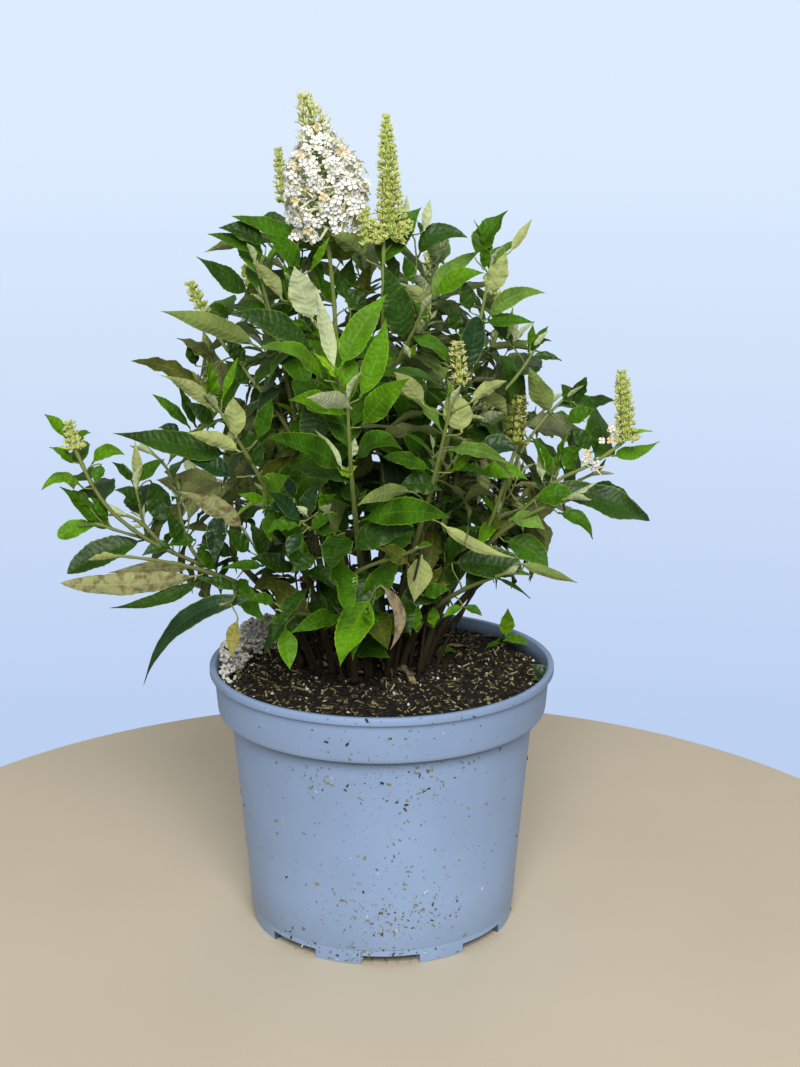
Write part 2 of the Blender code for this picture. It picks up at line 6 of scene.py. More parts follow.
import math
import random
from collections import namedtuple
from functools import partial

import bpy
import numpy as np
from bpy.props import FloatProperty, FloatVectorProperty, IntProperty, PointerProperty
from mathutils import Matrix, Vector
from mathutils.bvhtree import BVHTree


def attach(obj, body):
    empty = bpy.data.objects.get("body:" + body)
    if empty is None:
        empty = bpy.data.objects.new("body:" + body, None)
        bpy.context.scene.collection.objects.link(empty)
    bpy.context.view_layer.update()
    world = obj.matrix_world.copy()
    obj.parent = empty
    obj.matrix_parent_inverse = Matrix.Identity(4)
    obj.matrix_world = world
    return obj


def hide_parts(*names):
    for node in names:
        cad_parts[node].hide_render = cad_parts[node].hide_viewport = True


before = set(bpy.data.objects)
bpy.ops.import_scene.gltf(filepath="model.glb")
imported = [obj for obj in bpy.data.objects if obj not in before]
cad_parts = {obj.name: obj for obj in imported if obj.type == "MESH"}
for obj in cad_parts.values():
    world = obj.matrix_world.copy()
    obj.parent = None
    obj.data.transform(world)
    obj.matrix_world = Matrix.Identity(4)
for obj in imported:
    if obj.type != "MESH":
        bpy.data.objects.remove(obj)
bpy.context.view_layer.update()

bl_info = {
    "name": "Potted butterfly bush",
    "version": (1, 0, 0),
    "blender": (4, 5, 0),
    "location": "3D View > Sidebar > Bush",
    "description": "Builds a dwarf butterfly bush in a plastic nursery pot over its packed frame",
    "category": "Add Mesh",
}

MM = 0.001
GAP = 0.3
UP = Vector((0, 0, 1))
DOWN = Vector((0, 0, -1))
BODY = "root"

# Stems and masses of leaves, as in the CAD source, in millimetres.
SOIL_TOP = 166.0
SOIL_FLAT_RADIUS = 60.0
SOIL_EDGE = 159.5
CROWN_CENTRE = (-8.0, 18.0)
# Feet of the stems, the stems and their twigs.
FOOT_SPREAD = 0.24
FOOT_MAX_RADIUS = 46.0
FOOT_SPACING = 12.5
STEM_FOOT_RADIUS = 3.0
STEM_FLARE = 1.35
STEM_LEAN = 0.25
STEM_END_RADIUS = 2.4
TWIG_TIP_RADIUS = 1.5
TWIG_STEP = 26.0
SIDE_RADIUS = 0.72
FLOWERING_RADIUS = 1.15
STEM_POINTS = 6
FOOT_CUT = 2.0
SIDE_TURN = 0.9
SIDE_FIRST = 0.18
SIDE_STEP = 0.16
# Leaves: size by age, and the shape that the source tests with.
LEAF_LONG = 78.0
LEAF_AGE = 1.7
LEAF_SLENDER = 0.36
LEAF_WIDEST = 0.42
LEAF_KEEL = 0.016
KEEL_LEAST = 0.9
LEAF_ROOT = 0.7
LEAF_SHORTEST = 22.0
LEAF_MARGIN_TESTED = 0.2
# How a leaf hangs, opens from its twig with age, and turns to the light.
DROOP_SHARES = (0.3, 0.35, 0.35)
DROOP_START, DROOP_GROWTH, DROOP_MOST = 8.0, 6.0, 50.0
OPEN_START, OPEN_MOST, OPEN_AGE = 12.0, 78.0, 3.0
TURN_TO_LIGHT = 0.45
# Distances between the pairs of leaves.
NODE_FIRST = 4.0
INTERNODE_SHORT = 8.0
INTERNODE_GROWTH = 4.5
INTERNODE_LONG = 24.0
# How far a leaf may reach into another mass's space, and how clear of others it stays.
TRESPASS = 24.0
CLEARANCE = 0.55
SITE_STEP = 14.0
# Each mass: bare share of its stem, vigour, and tips with their place, tilt and kind.
MASSES = {
    "top_left": (0.44, 1.0, ((-33, 0, 450, 8, "panicle"), (-60, 45, 466, 6, "spike"),
                             (-52, -34, 424, 32, "leafy"))),
    "top_right": (0.44, 1.0, ((2, -10, 453, 3, "tall_spike"), (38, 50, 437, 12, "leafy"),
                              (26, -42, 412, 30, "leafy"))),
    "upper_left": (0.42, 1.0, ((-78, -10, 438, 18, "leafy"), (-112, 20, 397, 30, "spike"))),
    "upper_right": (0.42, 1.0, ((69, 0, 436, 10, "leafy"), (99, 20, 379, 25, "leafy"))),
    "left_front": (0.40, 1.05, ((-98, -70, 358, 35, "leafy"), (-70, -84, 300, 60, "leafy"))),
    "left_low": (0.40, 1.0, ((-192, -10, 316, 52, "buds"), (-150, 12, 312, 60, "leafy"),
                             (-168, 4, 272, 80, "leafy"))),
    "front": (0.42, 1.15, ((-18, -112, 372, 10, "leafy"),)),
    "front_low": (0.36, 1.1, ((-30, -122, 306, 50, "leafy"), (22, -116, 282, 62, "leafy"))),
    "right_front": (0.42, 1.0, ((42, -88, 364, 20, "leafy"), (48, -50, 369, 8, "spike"))),
    "right_low": (0.42, 1.0, ((142, -10, 322, 14, "spike"), (122, 30, 346, 50, "leafy"),
                              (138, 4, 300, 62, "leafy"))),
    "right_front_low": (0.40, 1.05, ((118, -48, 296, 68, "leafy"), (84, -30, 323, 20, "spike"))),
    "dry_heads": (0.40, 0.6, ((76, 24, 274, 25, "dry"), (50, 42, 292, 12, "dry"))),
    "left_foot": (0.34, 1.15, ((-168, -38, 256, 80, "leafy"), (-98, -72, 234, 82, "leafy"))),
    "front_foot": (0.34, 0.8, ((-60, -82, 232, 75, "leafy"), (-8, -88, 234, 75, "leafy"))),
    "right_foot": (0.34, 0.95, ((80, -62, 252, 66, "leafy"),)),
    "back_top": (0.42, 1.0, ((-12, 82, 428, 10, "leafy"), (28, 104, 396, 16, "spike"))),
    "back_left": (0.42, 1.0, ((-82, 98, 385, 28, "spike"), (-122, 84, 338, 45, "leafy"))),
    "back_right": (0.42, 1.0, ((80, 92, 384, 25, "spike"), (114, 84, 330, 45, "leafy"))),
    "back_low_left": (0.38, 1.0, ((-66, 138, 290, 62, "leafy"), (-128, 104, 266, 75, "leafy"))),
    "back_low_right": (0.38, 1.0, ((54, 142, 292, 60, "leafy"), (116, 96, 266, 75, "leafy"))),
}
# Length and radius of spikes, and the age of the leaves below one.
SPIKE_SIZES = {"spike": (38.0, 6.0), "tall_spike": (68.0, 7.5), "dry": (30.0, 6.0), "buds": (15.0, 5.0)}
FLOWERING_AGE = 1.6
# The cone of blossom: the source's, then the one that is drawn.
PANICLE_LENGTH = 86.0
PANICLE_RADIUS = 26.0
PANICLE_WIDEST = 0.24
PANICLE_WHORLS = 14
PANICLE_SIDES = 9
PANICLE_OPEN = 0.86
PANICLE_LAYERS = 22
PANICLE_SHOWN_LENGTH = 84.0
# Shares of the panicle's height and its radius there, in millimetres.
PANICLE_SHOWN = ((0.0, 0.06, 0.2, 0.42, 0.54, 0.66, 0.85, 0.95, 1.0),
                 (21.0, 26.0, 28.0, 26.0, 20.5, 13.5, 8.0, 4.0, 2.0))
# How a leaf that meets something is tried again: turn, droop and size.
TRIES = ((0.0, 1.0, 1.0), (0.5, 1.0, 1.0), (-0.5, 1.0, 1.0), (0.0, 0.3, 1.0), (0.0, 2.0, 0.95),
         (1.0, 0.8, 0.9), (-1.0, 0.8, 0.9), (0.3, 0.5, 0.75), (-0.3, 1.5, 0.75), (0.0, 1.0, 0.6))

Leaf = namedtuple("Leaf", "place way heading upper length width droop age")

# Pieces of foliage and the masses that each stands for.
FOLIAGE = {
    "foliage_top": ("top_left", "top_right", "upper_left", "upper_right"),
    "foliage_left": ("left_front", "left_low", "left_foot"),
    "foliage_front": ("front", "front_low", "front_foot"),
    "foliage_right": ("right_front", "right_low", "right_front_low", "right_foot", "dry_heads"),
    "foliage_back": ("back_top", "back_left", "back_right", "back_low_left", "back_low_right"),
}

# Leaf tones by the kind of spray, from its youngest leaves to its oldest: upper side, then underside.
TONES = {
    "fresh": (("fresh", "fresh", "bright", "mid"), ("silver", "silver", "pale", "pale")),
    "green": (("bright", "mid", "mid", "deep"), ("silver", "pale", "pale", "sage")),
    "dark": (("mid", "deep", "deep", "blue"), ("silver", "pale", "sage", "sage")),
    "felted": (("felt", "felt", "mid", "deep"), ("silver", "silver", "pale", "pale")),
    "tired": (("mid", "deep", "blue", "olive"), ("pale", "sage", "blotched", "blotched")),
}
SPRAYS = {
    "top_left": ("green", "green", "green"), "top_right": ("dark", "felted", "green"),
    "upper_left": ("green", "felted"), "upper_right": ("green", "dark"),
    "left_front": ("felted", "green"), "left_low": ("green", "dark", "green"),
    "front": ("green",), "front_low": ("green", "green"), "right_front": ("felted", "green"),
    "right_low": ("green", "dark", "green"), "right_front_low": ("green", "felted"),
    "dry_heads": ("tired", "tired"), "left_foot": ("tired", "dark"),
    "front_foot": ("dark", "green"), "right_foot": ("dark",),
    "back_top": ("green", "dark"), "back_left": ("felted", "green"), "back_right": ("green", "dark"),
    "back_low_left": ("tired", "dark"), "back_low_right": ("dark", "green"),
}
# Short shoots in the leaf axils: how many axils have one, length at the first and later nodes, in
# millimetres, and the length of their leaves as a share of that.
SHOOT_CHANCE = 0.85
SHOOT_FIRST, SHOOT_GROWTH, SHOOT_LONGEST = 12.0, 7.0, 46.0
SHOOT_LEAF_SHARE = 0.42
# Old leaves start this far up the bare stem. Stems are drawn slimmer than the source's by STEM_SLIM.
INNER_FROM = 0.55
STEM_SLIM = 0.86

# Camera, fitted to the pot's ellipses: the picture is 800 by 1067.
CAMERA_PLACE = (0.0119, -1.1231, 0.5494)
CAMERA_PITCH = 0.252
FOCAL_PIXELS = 1800.0
PICTURE = (800.0, 1067.0)
SENSOR = 36.0

# Leaves that the photograph shows one by one, by the mass that carries them: root and tip in its
# pixels, depth of the root and lean of the tip in millimetres (less is nearer), seen width and rise
# of the middle in pixels, the angle by which the upper side turns away, and the tones of both sides.
Seen = namedtuple("Seen", "mass x y tip_x tip_y depth lean wide bow face tones")
PORTRAIT = {
    "top_left": """
        318 246 231 216 -8 -20 16 3 35 mid pale, 301 269 263 233 -20 -14 20 3 35 mid sage,
        311 270 330 236 -28 -6 8 0 25 bright silver, 365 259 330 235 -16 -22 20 4 150 mid sage,
        313 322 294 266 -50 -10 30 0 165 bright silver, 266 247 218 228 4 -8 18 6 35 deep pale,
        282 300 252 262 -20 -8 15 4 150 mid pale, 352 302 331 270 30 0 15 0 30 deep sage,
        336 304 314 276 30 0 15 2 30 mid sage, 344 292 352 256 34 0 20 0 30 deep sage,
        366 312 342 286 30 0 20 0 30 deep sage, 362 300 372 262 38 0 16 2 30 olive sage,
        322 292 306 258 36 0 15 0 150 mid sage, 352 330 366 300 26 0 17 0 30 deep sage,
        340 262 354 240 30 0 14 0 30 olive sage""",
    "top_right": """
        379 269 422 207 -2 18 28 5 40 mid sage, 404 232 407 195 20 5 9 0 150 fresh silver,
        424 231 430 199 26 0 10 0 165 bright silver, 418 258 468 238 24 4 20 15 35 deep sage,
        413 284 404 256 8 0 14 0 30 mid pale, 404 342 383 263 -18 -8 32 3 15 deep sage,
        430 297 482 250 0 6 22 5 30 felt pale, 436 298 485 273 -10 -10 19 8 30 bright pale,
        431 315 399 283 -30 -14 15 5 150 fresh pale, 399 278 384 249 20 0 14 0 30 deep sage,
        410 357 403 343 -42 -4 7 0 150 fresh silver, 411 357 416 344 -42 -4 7 0 30 fresh silver""",
    "upper_right": """
        474 256 508 210 4 6 24 2 30 mid sage, 484 270 489 236 10 0 14 0 30 mid pale,
        492 256 474 219 2 4 7 0 60 bright silver, 510 252 532 219 2 6 9 0 150 mid pale,
        487 293 506 250 -4 -4 22 -2 165 bright pale, 488 319 546 293 -4 -12 18 10 30 felt pale,
        470 312 464 280 4 0 18 0 30 deep sage, 456 332 448 305 0 -2 17 2 30 deep pale,
        513 346 484 318 8 -4 12 4 30 deep sage, 485 323 535 323 -12 -10 13 3 35 mid sage,
        469 371 477 316 -20 2 25 0 12 blue sage blunt, 507 339 513 307 4 4 9 0 160 bright pale,
        532 357 562 361 14 0 9 3 30 deep sage, 528 352 552 341 14 0 12 5 40 deep sage,
        530 346 533 324 16 0 8 0 30 bright pale""",
    "upper_left": """
        250 294 196 256 -10 -16 22 0 35 deep sage, 262 256 207 234 0 -4 13 4 40 mid pale,
        228 318 208 306 8 -4 9 4 30 mid pale, 259 348 160 311 -20 -24 21 5 155 mid sage,
        215 362 176 338 12 2 18 4 60 olive dead, 200 384 130 361 14 0 15 6 50 olive sage,
        196 366 188 343 14 0 14 0 30 deep sage, 246 362 226 340 4 -2 16 0 30 deep sage,
        250 386 224 360 0 -4 15 2 30 deep pale""",
    "left_front": """
        313 350 231 313 -66 -16 24 8 35 deep pale, 211 406 207 359 -72 -6 15 0 60 bright pale,
        222 399 238 357 -72 2 8 0 30 bright silver, 236 438 233 397 -76 -8 22 0 165 mid pale,
        215 412 160 375 -66 -16 16 6 150 bright pale, 196 427 178 384 -30 -6 11 0 30 deep sage,
        214 428 186 402 -34 -4 15 3 30 deep sage, 236 477 184 457 -34 -8 20 2 30 blue sage,
        180 434 158 428 -26 -4 11 3 30 blue sage, 190 428 152 394 -28 -6 11 2 30 mid sage,
        257 440 272 398 -70 -4 17 0 25 mid pale, 240 452 187 433 -70 -12 16 3 155 mid pale,
        230 455 112 433 -30 -22 27 1 35 deep sage, 262 470 240 425 -62 -4 20 0 25 deep sage""",
    "left_low": """
        66 438 44 414 -10 -4 12 2 30 bright pale, 77 438 91 433 -10 -2 8 2 30 bright pale,
        73 462 49 447 -8 -6 10 2 30 bright pale, 92 464 125 455 -8 -4 14 8 30 bright pale,
        101 464 95 485 -6 -8 17 0 20 mid pale, 83 488 41 491 -6 -8 11 12 30 bright pale,
        98 523 59 486 -6 -4 17 2 35 mid silver, 90 508 66 492 -4 -2 12 3 30 mid pale,
        97 526 58 538 -6 -6 17 4 30 bright pale blunt, 144 540 67 574 0 -16 28 4 28 deep pale blunt,
        138 484 135 440 8 2 11 0 160 mid pale, 108 520 90 497 -4 -2 11 2 30 mid pale,
        180 546 166 512 -8 -2 15 2 30 deep sage, 264 560 250 522 -50 -2 15 2 30 deep sage,
        240 590 197 578 -40 -4 12 2 30 deep sage, 264 566 220 569 -44 -4 11 2 30 mid sage,
        134 482 112 462 6 -2 10 2 40 deep pale, 138 483 165 459 10 4 14 3 30 mid pale,
        142 505 114 490 4 -6 16 4 30 deep sage, 150 480 160 521 4 -4 26 3 25 deep sage blunt,
        196 567 108 573 -16 -10 14 2 150 olive blotched, 172 545 142 556 -4 -6 12 3 30 deep sage,
        196 540 166 548 -8 -6 14 3 30 mid sage, 236 556 196 545 -30 -6 16 2 30 deep sage,
        200 575 60 583 -20 -16 22 -5 155 olive blotched blunt, 202 580 109 608 -26 -12 15 -6 35 deep pale,
        250 552 226 530 -34 -4 18 0 30 deep sage, 216 570 196 547 -30 -4 15 0 30 mid sage""",
    "left_foot": """
        245 530 176 491 -40 -10 22 5 155 olive blotched, 222 512 215 563 -40 -6 21 3 20 blue pale,
        262 598 143 687 -60 -20 22 28 30 blue pale, 238 619 233 658 -70 -4 14 3 160 straw straw,
        291 572 250 558 -60 -8 18 3 30 deep sage, 275 603 250 600 -70 -8 12 3 30 mid pale""",
    "front": """
        335 372 316 288 -108 4 17 0 155 fresh silver, 341 367 388 293 -108 10 29 4 20 bright pale,
        359 399 386 317 -114 0 24 -4 18 bright pale, 324 380 257 348 -104 -44 18 12 50 bright pale,
        346 387 313 352 -116 -2 8 2 60 fresh silver, 352 409 306 398 -126 -46 19 4 155 mid silver,
        348 415 288 400 -110 -36 20 5 40 bright pale, 361 427 410 378 -116 -30 26 4 20 bright pale,
        347 477 336 467 -108 -3 8 2 30 fresh pale, 347 477 358 466 -108 -3 8 2 30 fresh pale,
        342 469 267 438 -104 -66 26 6 30 mid pale, 342 469 315 430 -108 -4 10 2 155 bright silver,
        352 457 355 438 -112 -4 10 0 160 bright silver, 355 461 403 450 -106 -46 20 14 40 mid pale""",
    "right_front": """
        424 405 394 372 -94 -10 18 2 155 fresh pale, 462 433 450 385 -90 -6 30 0 165 bright pale,
        471 402 507 381 -84 -6 13 3 150 mid pale, 431 470 382 457 -82 -16 14 4 35 mid pale,
        452 472 473 454 -80 -8 10 2 30 bright silver, 447 450 508 464 -72 -34 14 6 40 felt pale,
        478 448 520 452 -60 -4 22 5 25 blue sage, 441 490 400 486 -80 -10 22 5 25 deep sage""",
    "right_low": """
        612 456 660 441 -10 34 15 -3 30 bright pale, 628 434 653 431 -10 -2 5 1 40 fresh pale,
        551 414 529 367 10 -4 22 -1 150 mid sage, 575 402 587 377 26 0 14 0 40 deep sage,
        582 408 617 401 26 0 13 4 40 deep sage, 566 424 596 410 16 -4 16 3 30 mid sage,
        572 406 561 384 26 0 13 2 35 deep sage, 555 475 568 429 -4 0 11 0 75 bright silver,
        552 475 529 434 -6 -4 13 2 35 mid pale, 542 480 540 448 -6 -2 9 0 150 mid silver,
        560 468 586 444 0 2 17 3 30 mid pale, 588 486 641 508 24 52 22 2 30 mid sage,
        580 492 634 500 20 66 20 0 30 deep sage, 590 452 572 428 4 0 16 2 30 deep sage,
        593 452 600 424 4 0 12 0 40 deep sage""",
    "right_front_low": """
        546 482 650 521 -44 -8 32 1 30 deep olive blunt, 576 470 560 446 -6 -4 17 0 30 mid pale,
        535 499 579 499 -40 -8 22 4 35 mid pale, 558 513 593 540 -40 -10 16 7 35 mid pale,
        509 519 545 530 -40 -10 17 5 30 felt pale, 504 541 549 571 -34 -12 27 7 25 mid pale,
        479 475 528 480 -44 -8 17 8 30 bright pale""",
    "right_foot": """
        463 607 443 618 -40 -4 9 2 30 bright pale, 463 607 482 616 -40 -4 9 2 30 mid pale,
        497 578 531 599 -50 -2 5 2 40 deep sage, 452 563 522 570 -50 -10 34 3 25 deep olive blunt,
        519 563 578 583 -56 -8 12 0 155 olive sage, 441 523 516 558 -60 -8 13 -6 155 mid pale""",
    "front_low": """
        360 521 452 518 -100 -44 27 8 25 mid pale, 413 492 357 506 -96 -40 15 6 150 mid sage,
        352 552 418 530 -92 -12 27 10 25 deep pale, 409 565 377 548 -90 -8 18 4 30 olive sage,
        345 533 330 571 -98 -44 30 2 20 deep pale, 318 558 292 574 -84 -8 17 4 30 deep pale,
        300 522 268 492 -90 -8 17 3 30 blue pale, 305 520 318 484 -90 -4 17 2 30 blue pale,
        300 526 268 533 -92 -8 15 5 30 mid pale, 310 530 338 514 -92 -8 14 3 30 mid pale,
        302 534 288 557 -94 -8 16 2 30 blue pale, 290 512 266 508 -96 -6 12 3 30 blue pale,
        318 512 336 494 -96 -6 12 2 40 mid pale, 294 498 282 476 -96 -4 12 2 30 blue pale,
        316 534 342 532 -96 -6 12 3 30 mid pale, 308 516 296 506 -99 -4 8 1 150 mid silver,
        322 520 334 512 -99 -4 7 1 150 mid silver""",
    "front_foot": """
        372 597 340 667 -66 -40 35 4 15 bright pale, 310 587 272 640 -60 -36 14 6 30 deep pale,
        285 626 290 670 -66 -8 20 0 20 bright pale, 381 585 390 650 -60 -4 13 14 40 dead dead,
        422 555 414 603 -60 -6 26 0 160 olive pale, 416 632 418 604 -50 -2 10 0 30 bright pale,
        434 627 433 606 -44 -2 12 0 30 bright pale, 423 596 450 590 -56 -6 14 3 30 mid pale""",
    # Their depth is their height over the soil.
    "seedlings": """
        491 651 506 634 0 2 3 2 40 mid mid, 506 637 508 608 12 0 15 0 20 fresh pale,
        503 641 528 646 9 -4 9 5 30 bright pale, 500 643 484 650 7 -2 5 2 40 mid pale,
        494 662 520 687 1 -8 9 3 30 fresh pale, 496 664 494 684 1 -6 6 2 40 mid pale,
        546 684 530 664 1 6 15 3 25 blue sage, 436 656 456 652 2 -4 9 4 30 mid pale""",
}
# What other leaves leave in sight: stems as pairs of pixels with a reach and a depth.
STEMS_SEEN = ((455, 428, 512, 408, 14, -60), (362, 578, 352, 507, 8, -70), (352, 507, 346, 469, 8, -90),
              (346, 469, 339, 420, 8, -104), (437, 520, 436, 585, 7, -40), (319, 558, 326, 603, 6, -40))
# Shoots that the photograph shows, by mass and number of the axis: pixels from the crown to the tip,
# with a depth; a number past the rule's own adds a side twig.
AXES_SEEN = {
    ("left_low", 0): ((205, 566), (174, 553), (145, 538), (112, 512), (93, 486), (80, 460), (75, 448), -10),
    ("left_low", 3): ((150, 540), (122, 532), (95, 523), -6),
    ("left_low", 4): ((147, 538), (141, 512), (135, 484), 6),
    ("right_low", 0): ((498, 532), (534, 500), (560, 479), (588, 466), (610, 452), (625, 440), -14),
}
# Spikes that it shows: foot and tip in pixels, depth, seen widths at foot and tip, and buds' tone.
SPIKES_SEEN = {
    ("top_left", 1): ((283, 200, 278, 150, 40, 13, 6, "young"),),
    ("top_right", 0): ((391, 236, 386, 118, -10, 38, 9, "bright"),
                       (366, 244, 365, 208, -14, 16, 8, "bright"), (382, 241, 371, 221, -16, 11, 6, "bright"),
                       (399, 240, 410, 223, -14, 11, 5, "bright")),
    ("upper_left", 1): ((205, 313, 189, 282, 20, 16, 9, "young"),),
    ("right_front", 1): ((460, 384, 457, 341, -56, 20, 12, "cream"),),
    ("right_front_low", 1): ((516, 443, 520, 396, -36, 25, 13, "olive"),),
    ("right_low", 0): ((626, 440, 622, 372, -14, 26, 13, "bright"),),
    ("left_low", 0): ((75, 449, 68, 422, -10, 22, 12, "bright"),),
    ("back_right", 0): ((500, 304, 488, 278, 92, 14, 9, "young"),),
}
# Where the photograph shows sky or soil past the leaves: pixel and reach.
OPEN = """
    580 610 34, 610 585 24, 560 640 24, 95 640 40, 60 620 30, 180 645 22, 240 690 30, 300 700 34,
    340 700 30, 380 690 34, 430 680 40, 480 670 34, 520 650 26, 470 630 24, 330 640 12, 255 655 8,
    310 660 12, 360 690 26, 170 340 20, 150 322 14, 140 410 16, 168 398 12, 108 440 10, 127 468 8,
    120 508 9, 150 590 10, 120 550 8, 205 665 14, 217 640 14, 258 614 8, 150 620 16, 258 210 8, 205 272 8,
    456 242 9, 472 262 9, 520 272 13, 505 288 10, 538 305 12, 556 335 10, 580 345 14, 556 374 9,
    533 396 7, 680 472 28, 664 495 20, 672 528 24, 640 470 13, 640 545 20, 572 562 16, 606 545 22,
    548 598 14, 520 606 14, 560 390 8, 640 400 14, 600 480 8, 105 405 15, 24 440 13, 32 478 13, 565 325 8,
    546 324 6, 522 312 8, 556 545 8, 476 598 14, 496 606 12, 458 600 7, 650 466 10, 128 404 8, 42 503 12,
    30 515 9, 58 498 6, 528 592 12, 462 592 10, 630 482 12, 620 470 7, 608 468 6, 606 388 8, 552 531 6,
    530 247 6, 600 505 8, 570 500 6, 620 515 8, 226 250 6, 196 598 6, 218 597 5, 112 530 6, 97 534 5,
    582 492 9, 497 595 8, 180 303 8, 215 259 6, 150 450 6, 140 552 6, 198 296 7, 210 630 8, 487 614 9,
    510 600 8"""


def linear(colour):
    """A hex colour as the screen shows it, turned into linear light."""
    parts = [int(colour[i:i + 2], 16) / 255 for i in (1, 3, 5)]
    return tuple(c / 12.92 if c <= 0.04045 else ((c + 0.055) / 1.055) ** 2.4 for c in parts)


def clear_selection():
    """Object mode, with nothing selected."""
    if bpy.context.mode != "OBJECT":
        bpy.ops.object.mode_set(mode="OBJECT")
    bpy.ops.object.select_all(action="DESELECT")


# Sight lines of the photograph.
def sight(x, y, depth):
    """The place that a pixel shows at a depth, which is its y in millimetres."""
    u, v = (x - PICTURE[0] / 2) / FOCAL_PIXELS, (PICTURE[1] / 2 - y) / FOCAL_PIXELS
    c, s = math.cos(CAMERA_PITCH), math.sin(CAMERA_PITCH)
    ray = Vector((u, c + v * s, v * c - s))
    return Vector(CAMERA_PLACE) + ray * (depth * MM - CAMERA_PLACE[1]) / ray.y


def in_picture(points):
    """Pixel and distance of places in metres, one row each."""
    off = np.asarray([tuple(p) for p in points]) - CAMERA_PLACE
    c, s = math.cos(CAMERA_PITCH), math.sin(CAMERA_PITCH)
    away = off[:, 1] * c - off[:, 2] * s
    rise = off[:, 1] * s + off[:, 2] * c
    x, y = FOCAL_PIXELS * off[:, 0] / away, -FOCAL_PIXELS * rise / away
    return np.stack([PICTURE[0] / 2 + x, PICTURE[1] / 2 + y, away], 1)


def on_level(x, y, level):
    """The place that a pixel shows at a height in millimetres."""
    camera = Vector(CAMERA_PLACE)
    ray = sight(x, y, 0.0) - camera
    return camera + ray * (level * MM - camera.z) / ray.z


# Growth: the source's rule.
def bezier(start, start_way, end, end_way, count):
    """Points of a cubic curve that leaves start along start_way and arrives along end_way."""
    reach = (end - start).length * 0.38
    first, second = start + start_way * reach, end - end_way * reach
    points = []
    for i in range(count + 1):
        t = i / count
        u = 1 - t
        points.append(start * u ** 3 + first * (3 * u * u * t) + second * (3 * u * t * t) + end * t ** 3)
    return points


def path_length(points):
    """Length of a path, in metres."""
    return sum((b - a).length for a, b in zip(points, points[1:]))


def along(points, distance):
    """Place and direction at a distance along a path."""
    for a, b in zip(points, points[1:]):
        step = (b - a).length
        if distance <= step:
            return a.lerp(b, max(distance, 0.0) / step), (b - a).normalized()
        distance -= step
    return points[-1].copy(), (points[-1] - points[-2]).normalized()


def part_of_path(points, begin, finish, count):
    """Even steps along a stretch of a path."""
    return [along(points, begin + (finish - begin) * i / count)[0] for i in range(count + 1)]


def tip_way(tip, tilt):
    """Direction of a tip that leans away from the crown by a tilt from upright."""
    out = Vector((tip[0] - CROWN_CENTRE[0] * MM, tip[1] - CROWN_CENTRE[1] * MM, 0.0)).normalized()
    return (out * math.sin(math.radians(tilt)) + UP * math.cos(math.radians(tilt))).normalized()


def place_feet():
    """Where each stem leaves the soil: towards its tip, then pushed apart to clear the others."""
    feet = {}
    for name, (_, _, tips) in MASSES.items():
        way = Vector((tips[0][0] - CROWN_CENTRE[0], tips[0][1] - CROWN_CENTRE[1])) * FOOT_SPREAD
        if way.length > FOOT_MAX_RADIUS:
            way = way.normalized() * FOOT_MAX_RADIUS
        feet[name] = Vector(CROWN_CENTRE) + way
    names = list(feet)
    for _ in range(60):
        for i, one in enumerate(names):
            for other in names[i + 1:]:
                apart = feet[one] - feet[other]
                if apart.length < FOOT_SPACING:
                    push = apart.normalized() * (FOOT_SPACING - apart.length) / 2
                    feet[one] += push
                    feet[other] -= push
    return feet


def smooth_path(places, steps=5):
    """A rounded path through places."""
    ends = [places[0] * 2 - places[1], *places, places[-1] * 2 - places[-2]]
    points = []
    for a, b, c, d in zip(ends, ends[1:], ends[2:], ends[3:]):
        for i in range(steps):
            t = i / steps
            points.append(0.5 * (2 * b + (c - a) * t + (2 * a - 5 * b + 4 * c - d) * t * t
                                 + (3 * b - a - 3 * c + d) * t ** 3))
    return points + [places[-1]]


def seen_axis(name, number):
    """Path of a shoot that the photograph shows."""
    *pixels, depth = AXES_SEEN[name, number]
    return smooth_path([sight(x, y, depth) for x, y in pixels])


